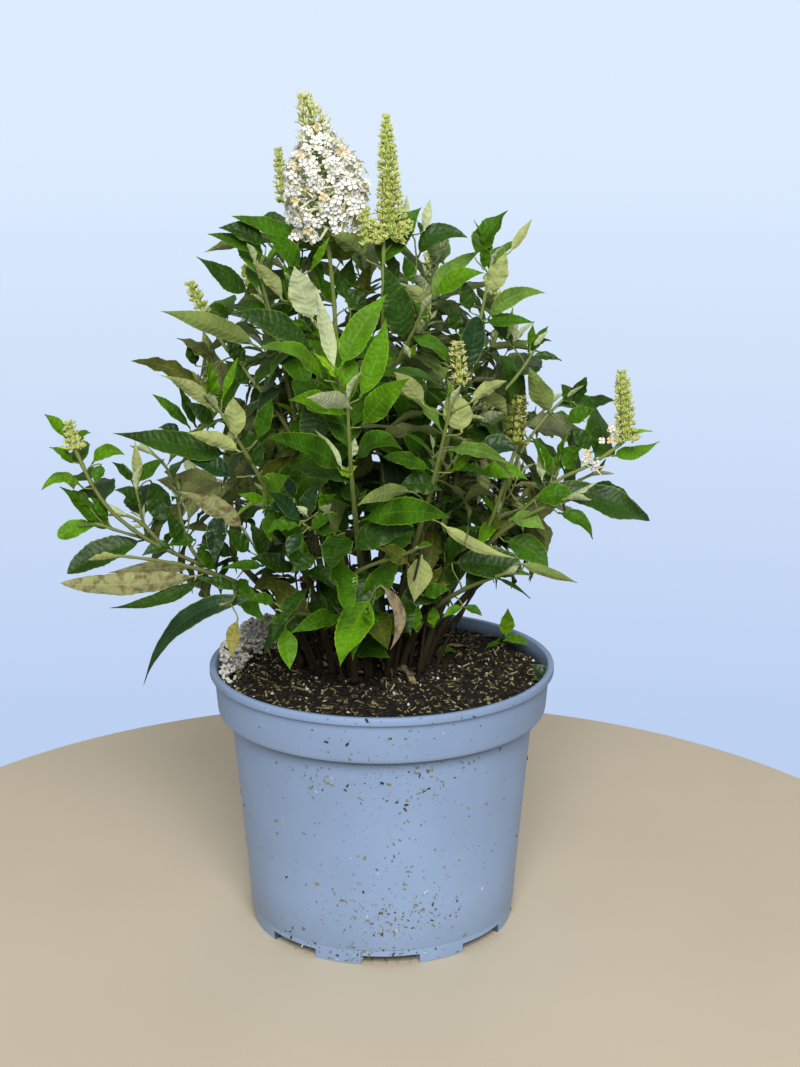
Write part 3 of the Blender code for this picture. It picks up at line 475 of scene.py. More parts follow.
def plan_masses():
    """Bare stem and leafy axes of every mass, as paths."""
    plans = {}
    feet = place_feet()
    for name, (bare, vigour, tips) in MASSES.items():
        base_z = (SOIL_TOP + GAP) * MM
        foot = Vector((feet[name].x * MM, feet[name].y * MM, base_z))
        tip = Vector(tips[0][:3]) * MM
        out = Vector((tip.x - foot.x, tip.y - foot.y, 0.0))
        out = out.normalized() * STEM_LEAN if out.length > STEM_FOOT_RADIUS * MM else Vector()
        cut = foot + UP * FOOT_CUT * MM
        whole = [foot] + bezier(cut, (UP + out).normalized(), tip, tip_way(tip, tips[0][3]), 24)
        total = path_length(whole)
        stem = [foot] + part_of_path(whole, FOOT_CUT * MM, total * bare, STEM_POINTS - 2)
        main_axis = part_of_path(whole, total * bare + GAP * MM, total, 16)
        main_axis[0] = stem[-1] + (stem[-1] - stem[-2]).normalized() * GAP * MM
        if (name, 0) in AXES_SEEN:
            shown = seen_axis(name, 0)
            lead = bezier(main_axis[0], (stem[-1] - stem[-2]).normalized(), shown[0],
                          (shown[1] - shown[0]).normalized(), 6)
            main_axis = lead[:-1] + shown
        axes = [(main_axis, tips[0][4])]
        for number, side_tip in enumerate(tips[1:]):
            place, way = along(main_axis, path_length(main_axis) * (SIDE_FIRST + SIDE_STEP * number))
            end = Vector(side_tip[:3]) * MM
            leave = (way + (end - place).normalized() * SIDE_TURN).normalized()
            axes.append((bezier(place, leave, end, tip_way(end, side_tip[3]), 16), side_tip[4]))
        for mass, number in AXES_SEEN:
            if mass == name and number:
                shown = seen_axis(name, number)
                nearest = min(main_axis, key=lambda place: (place - shown[0]).length)
                axes = axes[:number] + [([nearest, *shown], "leafy")] + axes[number + 1:]
        plans[name] = {"stem": stem, "axes": axes, "vigour": vigour, "whole": whole, "bare": total * bare}
        plans[name]["start_way"] = (stem[-1] - stem[-2]).normalized()
    return plans


def node_places(length):
    """Distances of the leaf pairs back from the tip, closest together near it."""
    places, back, number = [], NODE_FIRST * MM, 0
    while back < length - 3 * MM:
        places.append(back)
        back += min(INTERNODE_LONG, INTERNODE_SHORT + INTERNODE_GROWTH * number) * MM
        number += 1
    return places


def perpendicular(way, points):
    """A steady direction across the axis."""
    chord = points[-1] - points[0]
    reference = UP.cross(chord)
    if reference.length < 0.2 * chord.length:
        reference = Vector((1, 0, 0)) * chord.length
    return (reference - way * reference.dot(way)).normalized()


def leaf_pairs(name, number, points, kind, vigour):
    """Every leaf of an axis: root, heading, upper side, length, width, droop and age."""
    rng = random.Random(f"{name} {number}")
    total = path_length(points)
    turn = rng.random() * math.pi
    leaves = []
    first = 0.0 if kind == "leafy" else FLOWERING_AGE
    for count, back in enumerate(node_places(total)):
        age = count + first
        place, way = along(points, total - back)
        across = perpendicular(way, points)
        for side in (0, 1):
            draw = [rng.random() for _ in range(6)]
            azimuth = turn + count * math.pi / 2 + side * math.pi + (draw[0] - 0.5) * 0.6
            out = Matrix.Rotation(azimuth, 3, way) @ across
            opening = math.radians(OPEN_START + OPEN_MOST * (1 - math.exp(-(age + 0.2) / OPEN_AGE)))
            opening *= 0.85 + 0.3 * draw[1]
            heading = (way * math.cos(opening) + out * math.sin(opening)).normalized()
            length = vigour * LEAF_LONG * (1 - math.exp(-(age + 0.45) / LEAF_AGE))
            length *= 0.8 + 0.35 * draw[2]
            width = length * LEAF_SLENDER * (0.9 + 0.25 * draw[3])
            droop = math.radians(min(DROOP_START + DROOP_GROWTH * age, DROOP_MOST))
            droop *= 0.3 + 1.2 * draw[4]
            upper = (way - heading * way.dot(heading)).normalized() + UP * TURN_TO_LIGHT
            upper = (upper - heading * upper.dot(heading)).normalized()
            upper = Matrix.Rotation((draw[5] - 0.5) * 0.9, 3, heading) @ upper
            leaves.append(Leaf(place, way, heading, upper, length, width, droop, age))
    return leaves


def tried_again(leaf, turn, droop, size):
    """The same leaf turned about its twig, with another droop and size."""
    about = Matrix.Rotation(turn, 3, leaf.way)
    return leaf._replace(heading=about @ leaf.heading, upper=about @ leaf.upper,
                         length=leaf.length * size, width=leaf.width * size, droop=leaf.droop * droop)


def bend_down(way, upper, angle):
    """Turn a direction and its upper side towards the ground."""
    axis = way.cross(DOWN)
    if axis.length < 1e-4:
        return way, upper
    turn = Matrix.Rotation(min(angle, 0.8 * way.angle(DOWN)), 3, axis)
    return turn @ way, turn @ upper


def leaf_rings(leaf):
    """Sections of a leaf as the source has it, for the test of what it would meet."""
    way, top = bend_down(leaf.heading, leaf.upper, leaf.droop * DROOP_SHARES[0])
    side = way.cross(top) * MM
    below = top * MM
    centre = leaf.place
    rings = [[centre + side * LEAF_ROOT + below * 0.5, centre - side * LEAF_ROOT + below * 0.5,
              centre - below * LEAF_ROOT]]
    centre = centre + way * leaf.length * LEAF_WIDEST * MM
    way, top = bend_down(way, top, leaf.droop * DROOP_SHARES[1])
    side = way.cross(top) * MM
    keel = max(LEAF_KEEL * leaf.length, KEEL_LEAST)
    rings.append([centre + side * leaf.width / 2, centre - side * leaf.width / 2,
                  centre - top * keel * MM])
    way, top = bend_down(way, top, leaf.droop * DROOP_SHARES[2])
    return rings, centre + way * leaf.length * (1 - LEAF_WIDEST) * MM


def loft(rings, tip=None):
    """A closed mesh through like rings, ending in a point or in a flat cap."""
    sides = len(rings[0])
    points = [corner for ring in rings for corner in ring]
    faces = [tuple(reversed(range(sides)))]
    for row in range(len(rings) - 1):
        for i in range(sides):
            j = (i + 1) % sides
            faces.append((row * sides + i, row * sides + j, (row + 1) * sides + j, (row + 1) * sides + i))
    last = (len(rings) - 1) * sides
    if tip is None:
        faces.append(tuple(range(last, last + sides)))
    else:
        points.append(tip)
        faces += [(last + i, last + (i + 1) % sides, len(points) - 1) for i in range(sides)]
    return points, faces


def tube_rings(points, radii, sides, start_way=None):
    """Rings round a path; the first can be square to another direction."""
    rings = []
    for i, point in enumerate(points):
        way = (points[min(i + 1, len(points) - 1)] - points[max(i - 1, 0)]).normalized()
        if i == 0 and start_way:
            way = start_way
        across = perpendicular(way, points)
        ring = []
        for corner in range(sides):
            turn = Matrix.Rotation(2 * math.pi * corner / sides, 3, way)
            ring.append(point + turn @ across * radii[i] * MM)
        rings.append(ring)
    return rings


def test_twig(points, start_radius, end_radius, start_way=None):
    """A twig as the source has it, to test with."""
    count = max(2, round(path_length(points) / (TWIG_STEP * MM)))
    path = part_of_path(points, 0.0, path_length(points), count)
    radii = [start_radius + (end_radius - start_radius) * i / count for i in range(count + 1)]
    return loft(tube_rings(path, radii, 3, start_way))


def test_spike(base, way, length, radius, sides=5):
    """A spike as the source has it, to test with."""
    count = max(6, 2 * round(length / 14))
    start = base - way * 3 * MM
    path = [start + way * (length + 3) * MM * i / count for i in range(count + 1)]
    radii = []
    for i in range(count):
        swell = radius * math.sin(math.pi * (0.16 + 0.78 * i / count)) ** 0.7
        radii.append(swell * (1.0 if i % 2 else 0.7))
    return loft(tube_rings(path[:-1], radii, sides), path[-1])


def panicle_radius(share):
    """Radius of the cone of blossom at a share of its height, in millimetres."""
    rise = min(share / PANICLE_WIDEST, 1.0) ** 0.6
    fall = min((1 - share) / (1 - PANICLE_WIDEST), 1.0) ** 1.3
    return 2.5 + PANICLE_RADIUS * rise * fall


def test_panicle(base, way):
    """The cone of blossom as the source has it, to test with."""
    start = base - way * 3 * MM
    across = way.orthogonal().normalized()
    rings = []
    for whorl in range(PANICLE_WHORLS):
        share = whorl / PANICLE_WHORLS
        radius = 2.5 + (panicle_radius(share) - 2.5) * (1.0 if whorl % 2 else 0.82)
        centre = start + way * PANICLE_LENGTH * share * MM
        ring = []
        for corner in range(PANICLE_SIDES):
            angle = 2 * math.pi * (corner + 0.5 * (whorl % 2)) / PANICLE_SIDES
            ring.append(centre + Matrix.Rotation(angle, 3, way) @ across * radius * MM)
        rings.append(ring)
    return [loft(rings, base + way * PANICLE_LENGTH * MM)]


def box_of(points):
    """Lowest and highest place on each axis."""
    return [min(p[i] for p in points) for i in range(3)] + [max(p[i] for p in points) for i in range(3)]


def boxes_meet(a, b):
    """Whether two such boxes share any room."""
    return all(a[i] <= b[i + 3] and b[i] <= a[i + 3] for i in range(3))


def placed_piece(points, faces):
    """A body that others are tested against."""
    return box_of(points), BVHTree.FromPolygons(points, faces)


def touches(points, faces, placed):
    """Whether a body meets any that is already placed."""
    box = box_of(points)
    tree = None
    for other_box, other_tree in placed:
        if boxes_meet(box, other_box):
            tree = tree or BVHTree.FromPolygons(points, faces)
            if tree.overlap(other_tree):
                return True
    return False


def middle_of(ring):
    """The middle of a ring's corners."""
    return sum(ring, Vector()) / len(ring)


def grown_loft(rings, tip):
    """The same leaf pushed outwards, to test its clearance."""
    wide = []
    for ring in rings:
        middle = middle_of(ring)
        wide.append([corner + (corner - middle).normalized() * CLEARANCE * MM for corner in ring])
    return loft(wide, tip + (tip - middle_of(rings[-1])).normalized() * CLEARANCE * MM)


def too_near(leaf_samples, own, others):
    """Whether a leaf reaches out of its mass's own space."""
    for sample in leaf_samples:
        home = min((sample - site).length for site in own)
        away = min((sample - site).length for site in others)
        if home - away > TRESPASS * MM:
            return True
    return False


def sites_of(plan):
    """Places along the axes of a mass, which mark its own space."""
    sites = []
    for points, _ in plan["axes"]:
        total = path_length(points)
        count = max(2, round(total / (SITE_STEP * MM)))
        sites += part_of_path(points, 0.0, total, count)
    return sites


def end_pieces(points, kind):
    """What stands on the tip of an axis, as the source has it."""
    tip, way = along(points, path_length(points))
    if kind == "panicle":
        return test_panicle(tip, way)
    if kind == "dry":
        length, radius = SPIKE_SIZES[kind]
        pieces = []
        for lean in (-0.35, 0.55):
            out = (way + way.orthogonal().normalized() * lean).normalized()
            pieces.append(test_spike(tip, out, length, radius, 4))
        return pieces
    if kind in SPIKE_SIZES:
        return [test_spike(tip, way, *SPIKE_SIZES[kind])]
    return []


def grow_frame(plan, others):
    """Axes of one mass that clear the others."""
    pieces, axes = [], []
    for number, (points, kind) in enumerate(plan["axes"]):
        end_radius = TWIG_TIP_RADIUS * (1.0 if kind == "leafy" else FLOWERING_RADIUS)
        if number == 0:
            piece = test_twig(points, STEM_END_RADIUS, end_radius, plan["start_way"])
        else:
            piece = test_twig(points, STEM_END_RADIUS * SIDE_RADIUS, end_radius)
        if number and touches(*piece, others):
            continue
        axes.append(number)
        pieces.append(piece)
        pieces += [tip for tip in end_pieces(points, kind) if not touches(*tip, others)]
    return pieces, axes


def node_piece(name):
    """A CAD node as a test piece."""
    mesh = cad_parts[name].data
    return placed_piece([v.co.copy() for v in mesh.vertices], [tuple(p.vertices) for p in mesh.polygons])


def outline_samples(leaf):
    """Places along a leaf and on its margins, to test what it hides."""
    rings, tip = leaf_rings(leaf)
    near, wide = middle_of(rings[0]), middle_of(rings[1])
    left, right = rings[1][0].lerp(wide, 0.15), rings[1][1].lerp(wide, 0.15)
    inner = [near.lerp(wide, share) for share in (0.4, 0.7)]
    outer = [wide.lerp(tip, share) for share in (0.0, 0.25, 0.5, 0.75)]
    return [*inner, *outer, tip, left, right, near.lerp(left, 0.6), near.lerp(right, 0.6),
            left.lerp(tip, 0.45), right.lerp(tip, 0.45)]


class Kept:
    """What stays in sight in the photograph: leaves and stems shown, and open places."""

    def __init__(self, portraits):
        rows = []
        for blade, path in portraits:
            mid = in_picture([path[0][i] for i in (1, len(path[0]) // 2, len(path[0]) - 1)])
            reach = 0.4 * blade.width * MM * FOCAL_PIXELS / mid[0, 2] * blade.shown
            rows += [(*mid[0], *mid[1], reach), (*mid[1], *mid[2], reach)]
        for x, y, end_x, end_y, reach, depth in STEMS_SEEN:
            far = in_picture([sight(x, y, depth), sight(end_x, end_y, depth)])
            rows.append((*far[0], *far[1], reach))
        for x, y, tip_x, tip_y, depth, wide, _, _ in sum(SPIKES_SEEN.values(), ()):
            far = in_picture([sight(x, y, depth), sight(tip_x, tip_y, depth)])
            rows.append((*far[0], *far[1], 0.4 * wide))
        self.rows = np.array(rows)
        self.open = np.array([row.split() for row in OPEN.split(",")], float)

    def refuses(self, samples):
        """Whether places would hide what is shown, or stand where sky is seen."""
        spots = in_picture(samples)
        gap = np.hypot(spots[:, None, 0] - self.open[None, :, 0], spots[:, None, 1] - self.open[None, :, 1])
        if (gap < self.open[None, :, 2]).any():
            return True
        a, b = self.rows[:, 0:2], self.rows[:, 3:5]
        run = b - a
        share = ((spots[:, None, :2] - a) * run).sum(-1) / np.maximum((run ** 2).sum(-1), 1)
        share = np.clip(share, 0, 1)
        off = np.linalg.norm(spots[:, None, :2] - a - run * share[..., None], axis=-1)
        depth = self.rows[:, 2] + (self.rows[:, 5] - self.rows[:, 2]) * share
        return bool(((off < self.rows[:, 6]) & (spots[:, None, 2] < depth - 0.001)).any())


def grow(plans, portraits, kept):
    """Axes that stand, and the leaves that keep to their own space and hide nothing shown."""
    fixed = [node_piece(name) for name in ["pot", "soil"] + ["stem_" + name for name in plans]]
    shown = [seen_piece(blade, path) for blade, path in portraits]
    sites = {name: sites_of(plan) for name, plan in plans.items()}
    frames, taken = {}, {}
    for name, plan in plans.items():
        others = fixed + [piece for group in taken.values() for piece in group]
        frames[name] = grow_frame(plan, others)
        taken[name] = [placed_piece(*piece) for piece in frames[name][0]]
    leaves = []
    for name, plan in plans.items():
        others = fixed + [piece for other, group in taken.items() if other != name for piece in group]
        own = sites[name]
        away = [site for other, group in sites.items() if other != name for site in group]
        mine = taken[name] + shown
        for number in frames[name][1]:
            points, kind = plan["axes"][number]
            for leaf in leaf_pairs(name, number, points, kind, plan["vigour"]):
                if leaf.length < LEAF_SHORTEST:
                    leaves.append((name, number, leaf))
                    continue
                for change in TRIES:
                    again = tried_again(leaf, *change)
                    rings, tip = leaf_rings(again)
                    if too_near((middle_of(rings[1]), tip), own, away):
                        continue
                    if kept.refuses(outline_samples(again)) or touches(*grown_loft(rings, tip), others):
                        continue
                    blade = [[a.lerp(b, LEAF_MARGIN_TESTED) for a, b in zip(*rings)], rings[1]]
                    if touches(*loft(blade, tip), mine):
                        continue
                    leaves.append((name, number, again))
                    mine.append(placed_piece(*loft(rings, tip)))
                    break
    return {name: axes for name, (_, axes) in frames.items()}, leaves


# Leaves that the photograph shows.
def seen_frame(row, root, rows):
    """Places, headings and upper sides along a leaf that the photograph shows."""
    camera = Vector(CAMERA_PLACE)
    tip = sight(row.tip_x, row.tip_y, root.y / MM + row.lean)
    pixel = (root - camera).length / FOCAL_PIXELS
    rise = (tip - root).cross(camera - root).normalized()
    rise *= 1 if rise.z >= 0 else -1
    bend = (root + tip) / 2 + rise * 2 * row.bow * pixel
    frame_rows = []
    for i in range(rows + 1):
        t = i / rows
        place = root * (1 - t) ** 2 + bend * 2 * t * (1 - t) + tip * t * t
        way = ((bend - root) * (1 - t) + (tip - bend) * t).normalized()
        facing = camera - place
        facing = (facing - way * facing.dot(way)).normalized()
        aside = way.cross(facing)
        aside *= 1 if aside.z + 0.2 * aside.x >= 0 else -1
        angle = math.radians(row.face + row.twist * (t - 0.3))
        frame_rows.append((place, way, facing * math.cos(angle) + aside * math.sin(angle)))
    return np.array([[tuple(part) for part in parts] for parts in zip(*frame_rows)])


def seen_piece(blade, path):
    """A flat test body for a leaf that the photograph shows."""
    rings = []
    count = path.shape[1] - 1
    for share, size in ((0.0, 0.08), (0.3, 0.9), (0.6, 0.8)):
        i = round(share * count)
        place, way, top = (Vector(part[i]) for part in path)
        side = way.cross(top) * blade.width / 2 * size * MM
        rings.append([place + side, place - side, place - top * MM])
    return placed_piece(*loft(rings, Vector(path[0][count])))


def carriers(plans):
    """Places along every leafy axis, with the mass and the way they run."""
    found = []
    for name, plan in plans.items():
        for points, _ in plan["axes"]:
            total = path_length(points)
            for i in range(int(total / (3 * MM))):
                found.append((name, *along(points, i * 3 * MM)))
    return found


def portray(plans):
    """The leaves that the photograph shows, each on a twig from the nearest axis."""
    spots = carriers(plans)
    leaves, twigs = [], []
    for name, table in PORTRAIT.items():
        for words in map(str.split, table.split(",")):
            row = Seen(name, *map(int, words[:9]), words[9:])
            rng = own_rng("portrait", name, *words[:4])
            twist = rng.uniform(-45, 45)
            if name == "seedlings":
                ground = on_level(row.x, row.y, SOIL_TOP + row.depth)
                row = row._replace(mass="front_foot", depth=ground.y / MM)
            wanted = sight(row.x, row.y, row.depth)
            ray = (wanted - Vector(CAMERA_PLACE)).normalized()

            def cost(spot):
                off = spot[1] - wanted
                depth = off.dot(ray)
                return (off - ray * depth).length + 0.3 * abs(depth) + (0.0 if spot[0] == name else 0.004)

            if name == "seedlings":
                near, way, depth = wanted, UP, row.depth
            else:
                _, near, way = min(spots, key=cost)
                depth = min(max(near.y / MM, row.depth - 14), row.depth + 14)
            root = sight(row.x, row.y, depth)
            shape = Framed(*row, twist)
            path = seen_frame(shape, root, SEEN_ROWS)
            away = (root - near).length
            if away > 1.5 * MM:
                back = min(0.5 * away, 12 * MM)
                start = near - way * back
                start = min(spots, key=lambda spot: (spot[1] - start).length)[1]
                lead = Vector(path[1][0])
                direct = (root - start).normalized()
                curve = bezier(start, (way * 0.6 + direct).normalized(), root,
                               (lead * 0.5 + direct).normalized(), max(4, int(away / (4 * MM))))
                twigs.append((name, curve))
                for place in curve[2:]:
                    spots.append((name, place, (curve[-1] - curve[-2]).normalized()))
            length = sum(np.linalg.norm(np.diff(path[0], axis=0), axis=1)) / MM
            tilt = abs(math.cos(math.radians(row.face)))
            width = row.wide * (root - Vector(CAMERA_PLACE)).length / FOCAL_PIXELS / MM / max(tilt, 0.5)
            blade = Blade(row.mass, root, None, None, length, min(width, 0.62 * length), 0, 0, 0, 0,
                          rng.uniform(0.1, 0.34), rng.uniform(0.0, 0.22), rng.uniform(0.05, 0.19), 0.07,
                          tuple(row.tones[:2]), rng.random(), 3.0, max(tilt, 0.5), len(row.tones) - 2.0)
            leaves.append((blade, path))
    return leaves, twigs


class Heap:
    """Copies of small shapes, gathered to become one mesh."""

    def __init__(self):
        self.points, self.corners, self.sizes, self.slots = [], [], [], []
        self.spans, self.shares, self.shades, self.margins = [], [], [], []
        self.count = 0

    def add(self, points, faces, slots, spans=None, shares=None, shades=None, margin=None):
        """points (copies, corners, 3); faces as index tuples; slots (copies, faces) or one number."""
        points = np.asarray(points, float)
        if points.ndim == 2:
            points = points[None]
        copies, corners = points.shape[:2]
        flat = np.fromiter((i for face in faces for i in face), int)
        sizes = np.array([len(face) for face in faces])
        offsets = self.count + corners * np.arange(copies)
        self.points.append(points.reshape(-1, 3))
        self.corners.append((flat[None] + offsets[:, None]).ravel())
        self.sizes.append(np.tile(sizes, copies))
        self.slots.append(np.broadcast_to(slots, (copies, len(faces))).ravel())
        empty = np.zeros((copies, corners, 2))
        self.spans.append((empty if spans is None else np.broadcast_to(spans, empty.shape)).reshape(-1, 2))
        self.shares.append((empty if shares is None else np.broadcast_to(shares, empty.shape)).reshape(-1, 2))
        shade = np.full(copies, 0.5) if shades is None else np.broadcast_to(shades, (copies,))
        self.shades.append(np.repeat(shade, corners))
        edge = np.zeros(corners, bool) if margin is None else np.asarray(margin, bool)
        self.margins.append(np.tile(edge, copies))
        self.count += copies * corners

    def build(self, name, materials, smooth=True):
        """One mesh object, with millimetres and shares as its two UV maps."""
        points = np.concatenate(self.points)
        corners = np.concatenate(self.corners).astype(np.int32)
        sizes = np.concatenate(self.sizes)
        mesh = bpy.data.meshes.new(name)
        mesh.vertices.add(len(points))
        mesh.vertices.foreach_set("co", points.astype(np.float32).ravel())
        mesh.loops.add(len(corners))
        mesh.loops.foreach_set("vertex_index", corners)
        mesh.polygons.add(len(sizes))
        starts = np.concatenate([[0], np.cumsum(sizes)[:-1]]).astype(np.int32)
        mesh.polygons.foreach_set("loop_start", starts)
        mesh.polygons.foreach_set("material_index", np.concatenate(self.slots).astype(np.int32))
        mesh.update(calc_edges=True)
        mesh.polygons.foreach_set("use_smooth", np.full(len(sizes), smooth))
        for label, values in (("millimetres", self.spans), ("share", self.shares)):
            layer = mesh.uv_layers.new(name=label)
            layer.data.foreach_set("uv", np.concatenate(values)[corners].astype(np.float32).ravel())
        shade = mesh.attributes.new("shade", "FLOAT", "POINT")
        shade.data.foreach_set("value", np.concatenate(self.shades).astype(np.float32))
        margin = np.concatenate(self.margins)
        if margin.any():
            ends = np.empty(len(mesh.edges) * 2, np.int32)
            mesh.edges.foreach_get("vertices", ends)
            sharp = mesh.attributes.new("sharp_edge", "BOOLEAN", "EDGE")
            sharp.data.foreach_set("value", margin[ends.reshape(-1, 2)].all(axis=1))
        mesh.validate()
        for material in materials:
            mesh.materials.append(material)
        piece = bpy.data.objects.new(name, mesh)
        bpy.context.scene.collection.objects.link(piece)
        return piece


# Leaves: every blade of one fineness is shaped at once.
Blade = namedtuple("Blade", "mass root way upper length width droop curl sweep twist fold roll wave "
                            "petiole tones shade age shown blunt", defaults=(1.0, 0.0))
Framed = namedtuple("Framed", (*Seen._fields, "twist"))


# A blade's thickness, and how far its midrib stands out below and sinks in above, in millimetres.
BLADE_THICK, MIDRIB_THICK, MIDRIB_GROOVE = 0.28, 0.75, 0.18


def rotated(a, b, angle):
    """Two square directions turned in their plane, a towards b."""
    c, s = np.cos(angle)[:, None], np.sin(angle)[:, None]
    return a * c + b * s, b * c - a * s


def smooth_step(t):
    """A share that eases in and out."""
    t = np.clip(t, 0, 1)
    return t * t * (3 - 2 * t)


def droop_by(t):
    """How much of its droop a leaf has at a share of its length."""
    return 0.3 * min(1.0, t / 0.12) + 0.7 * float(smooth_step((t - 0.1) / 0.65))


def normalised(v):
    """Directions of length one."""
    return v / np.maximum(np.linalg.norm(v, axis=-1, keepdims=True), 1e-12)


def midribs(blades, rows):
    """Places, headings and upper sides along each blade, bent by weight, curl, sweep and twist."""
    column = {k: np.array([getattr(b, k) for b in blades], float)
              for k in ("root", "way", "upper", "length", "droop", "curl", "sweep", "twist")}
    place, way, top = column["root"], column["way"], column["upper"]
    top = normalised(top - way * (way * top).sum(1, keepdims=True))
    found = np.empty((3, rows + 1, len(blades), 3))
    for row in range(rows + 1):
        found[:, row] = place, way, top
        t, after = row / rows, (row + 1) / rows
        place = place + way * column["length"][:, None] / rows * MM
        down = np.array([0, 0, -1.0]) - way * -way[:, 2:3]
        slope = np.linalg.norm(down, axis=1)
        down = down / np.maximum(slope, 1e-9)[:, None]
        angle = column["droop"] * (droop_by(after) - droop_by(t))
        angle = np.minimum(angle, 0.25 * np.arccos(np.clip(-way[:, 2], -1, 1))) * (slope > 1e-3)
        old_way = way
        way = old_way * np.cos(angle)[:, None] + down * np.sin(angle)[:, None]
        part = (top * down).sum(1, keepdims=True)
        new_down = down * np.cos(angle)[:, None] - old_way * np.sin(angle)[:, None]
        top = top + (new_down - down) * part
        share = float(smooth_step(after * 1.1 - 0.1) - smooth_step(t * 1.1 - 0.1))
        way, lowered = rotated(way, -top, column["curl"] * share)
        top = -lowered
        side = np.cross(way, top)
        way, side = rotated(way, side, column["sweep"] / rows)
        side, top = rotated(side, top, column["twist"] / rows)
        way = normalised(way)
        top = normalised(top - way * (way * top).sum(1, keepdims=True))
    return np.moveaxis(found, 1, 2)


def blade_faces(rows, half, under):
    """Faces of a leaf: upper grid, lower grid, root and tip; the two sides share their margins."""
    wide = 2 * half + 1
    low = 2 * under - 1
    first_low = rows * wide
    tip = first_low + rows * low
    upper_faces, lower_faces = [], []
    for row in range(rows - 1):
        for i in range(wide - 1):
            a = row * wide + i
            upper_faces.append((a, a + 1, a + 1 + wide, a + wide))
    last = (rows - 1) * wide
    upper_faces += [(last + i, last + i + 1, tip) for i in range(wide - 1)]

    def lower(row, i):
        if i == 0:
            return row * wide
        if i == low + 1:
            return row * wide + wide - 1
        return first_low + row * low + i - 1

    for row in range(rows - 1):
        for i in range(low + 1):
            lower_faces.append((lower(row, i), lower(row + 1, i), lower(row + 1, i + 1), lower(row, i + 1)))
    lower_faces += [(lower(rows - 1, i + 1), lower(rows - 1, i), tip) for i in range(low + 1)]
    lower_faces.append(tuple(lower(0, i) for i in range(low + 2)) + tuple(range(wide - 2, 0, -1)))
    return upper_faces, lower_faces


def outline(t, base, taper):
    """Half width of a blade along its length, one at its widest."""
    peak = base / (base + taper)
    t = np.clip(t, 0, 1)
    return (t ** base * (1 - t) ** taper) / (peak ** base * (1 - peak) ** taper)


def add_blades(heap, blades, paths, rows, half, under, slots, tooth=0.05, seed=5):
    """Two-sided toothed blades with a midrib, a petiole and waved margins."""
    if not blades:
        return
    rng = np.random.default_rng(seed)
    count = len(blades)

    def get(key):
        return np.array([getattr(b, key) for b in blades], float)[:, None]

    length, width, petiole = get("length"), get("width"), get("petiole")
    mid, way, top = paths
    side = normalised(np.cross(way, top))
    t = np.arange(rows)[None] / rows
    blade_t = (t - petiole) / (1 - petiole)
    base = (0.68 + 0.25 * rng.random((count, 1))) * (1 - 0.15 * get("blunt"))
    taper = (1.12 + 0.4 * rng.random((count, 1))) * (1 - 0.48 * get("blunt"))
    stalk = np.minimum(0.75, 0.03 * length + 0.15)
    reach = np.maximum(width / 2 * outline(blade_t, base, taper), stalk * (1 - 0.4 * t))
    saw = np.where(np.arange(rows) % 2, 1.0, -1.0)[None] * tooth
    saw = saw * ((blade_t > 0.14) & (blade_t < 0.93))
    wave_phase = rng.random((count, 1)) * 6.28
    wave_turns = 1.8 + 2.2 * rng.random((count, 1))
    wide = 2 * half + 1
    across_upper = np.linspace(-1, 1, wide)
    across_lower = np.linspace(-1, 1, 2 * under + 1)[1:-1]
    in_blade = smooth_step((blade_t - 0.02) / 0.15)

    def sheet(across, below):
        v = across[None, None, :]
        edge = np.abs(v) > 0.99
        spread = reach[..., None] * (1 + np.where(edge, saw[..., None], 0)) * MM
        fold = get("fold")[..., None] * in_blade[..., None]
        rise = np.abs(v) * np.sin(fold) - get("roll")[..., None] * v ** 2 * in_blade[..., None]
        ripple = np.sin(wave_turns[..., None] * 6.28 * t[..., None] + wave_phase[..., None]
                        + 1.3 * np.sign(v))
        rise = rise + get("wave")[..., None] * v ** 2 * ripple * in_blade[..., None]
        lift = spread * rise
        thick = (BLADE_THICK * (1 - v ** 2)
                 + MIDRIB_THICK * np.exp(-(v / 0.22) ** 2) * (1 - 0.75 * t[..., None]))
        groove = MIDRIB_GROOVE * np.exp(-(v / 0.2) ** 2) * in_blade[..., None]
        lift = lift - (thick if below else groove) * MM
        out = spread * v * np.cos(fold)
        points = (mid[:, :rows, None] + side[:, :rows, None] * out[..., None]
                  + top[:, :rows, None] * lift[..., None])
        span = np.stack(np.broadcast_arrays(length[..., None] * t[..., None], out / MM), -1) / UV_UNIT
        share = np.stack(np.broadcast_arrays(np.clip(blade_t, 0, 1)[..., None], np.abs(v)), -1)
        return [x.reshape(count, -1, x.shape[-1]) for x in (points, span, share)]

    up, low = sheet(across_upper, False), sheet(across_lower, True)
    tip = [mid[:, rows:rows + 1],
           np.concatenate([length / UV_UNIT, length * 0], 1)[:, None], np.tile([[[1.0, 0.5]]], (count, 1, 1))]
    points, spans, shares = (np.concatenate(x, 1) for x in zip(up, low, tip))
    upper_faces, lower_faces = blade_faces(rows, half, under)
    tone = np.array([[slots[b.tones[0]]] * len(upper_faces) + [slots[b.tones[1]]] * len(lower_faces)
                     for b in blades])
    margin = np.zeros(points.shape[1], bool)
    margin[np.arange(rows) * wide] = True
    margin[np.arange(rows) * wide + wide - 1] = True
    margin[-1] = True
    heap.add(points, upper_faces + lower_faces, tone, spans, shares, get("shade")[:, 0], margin)


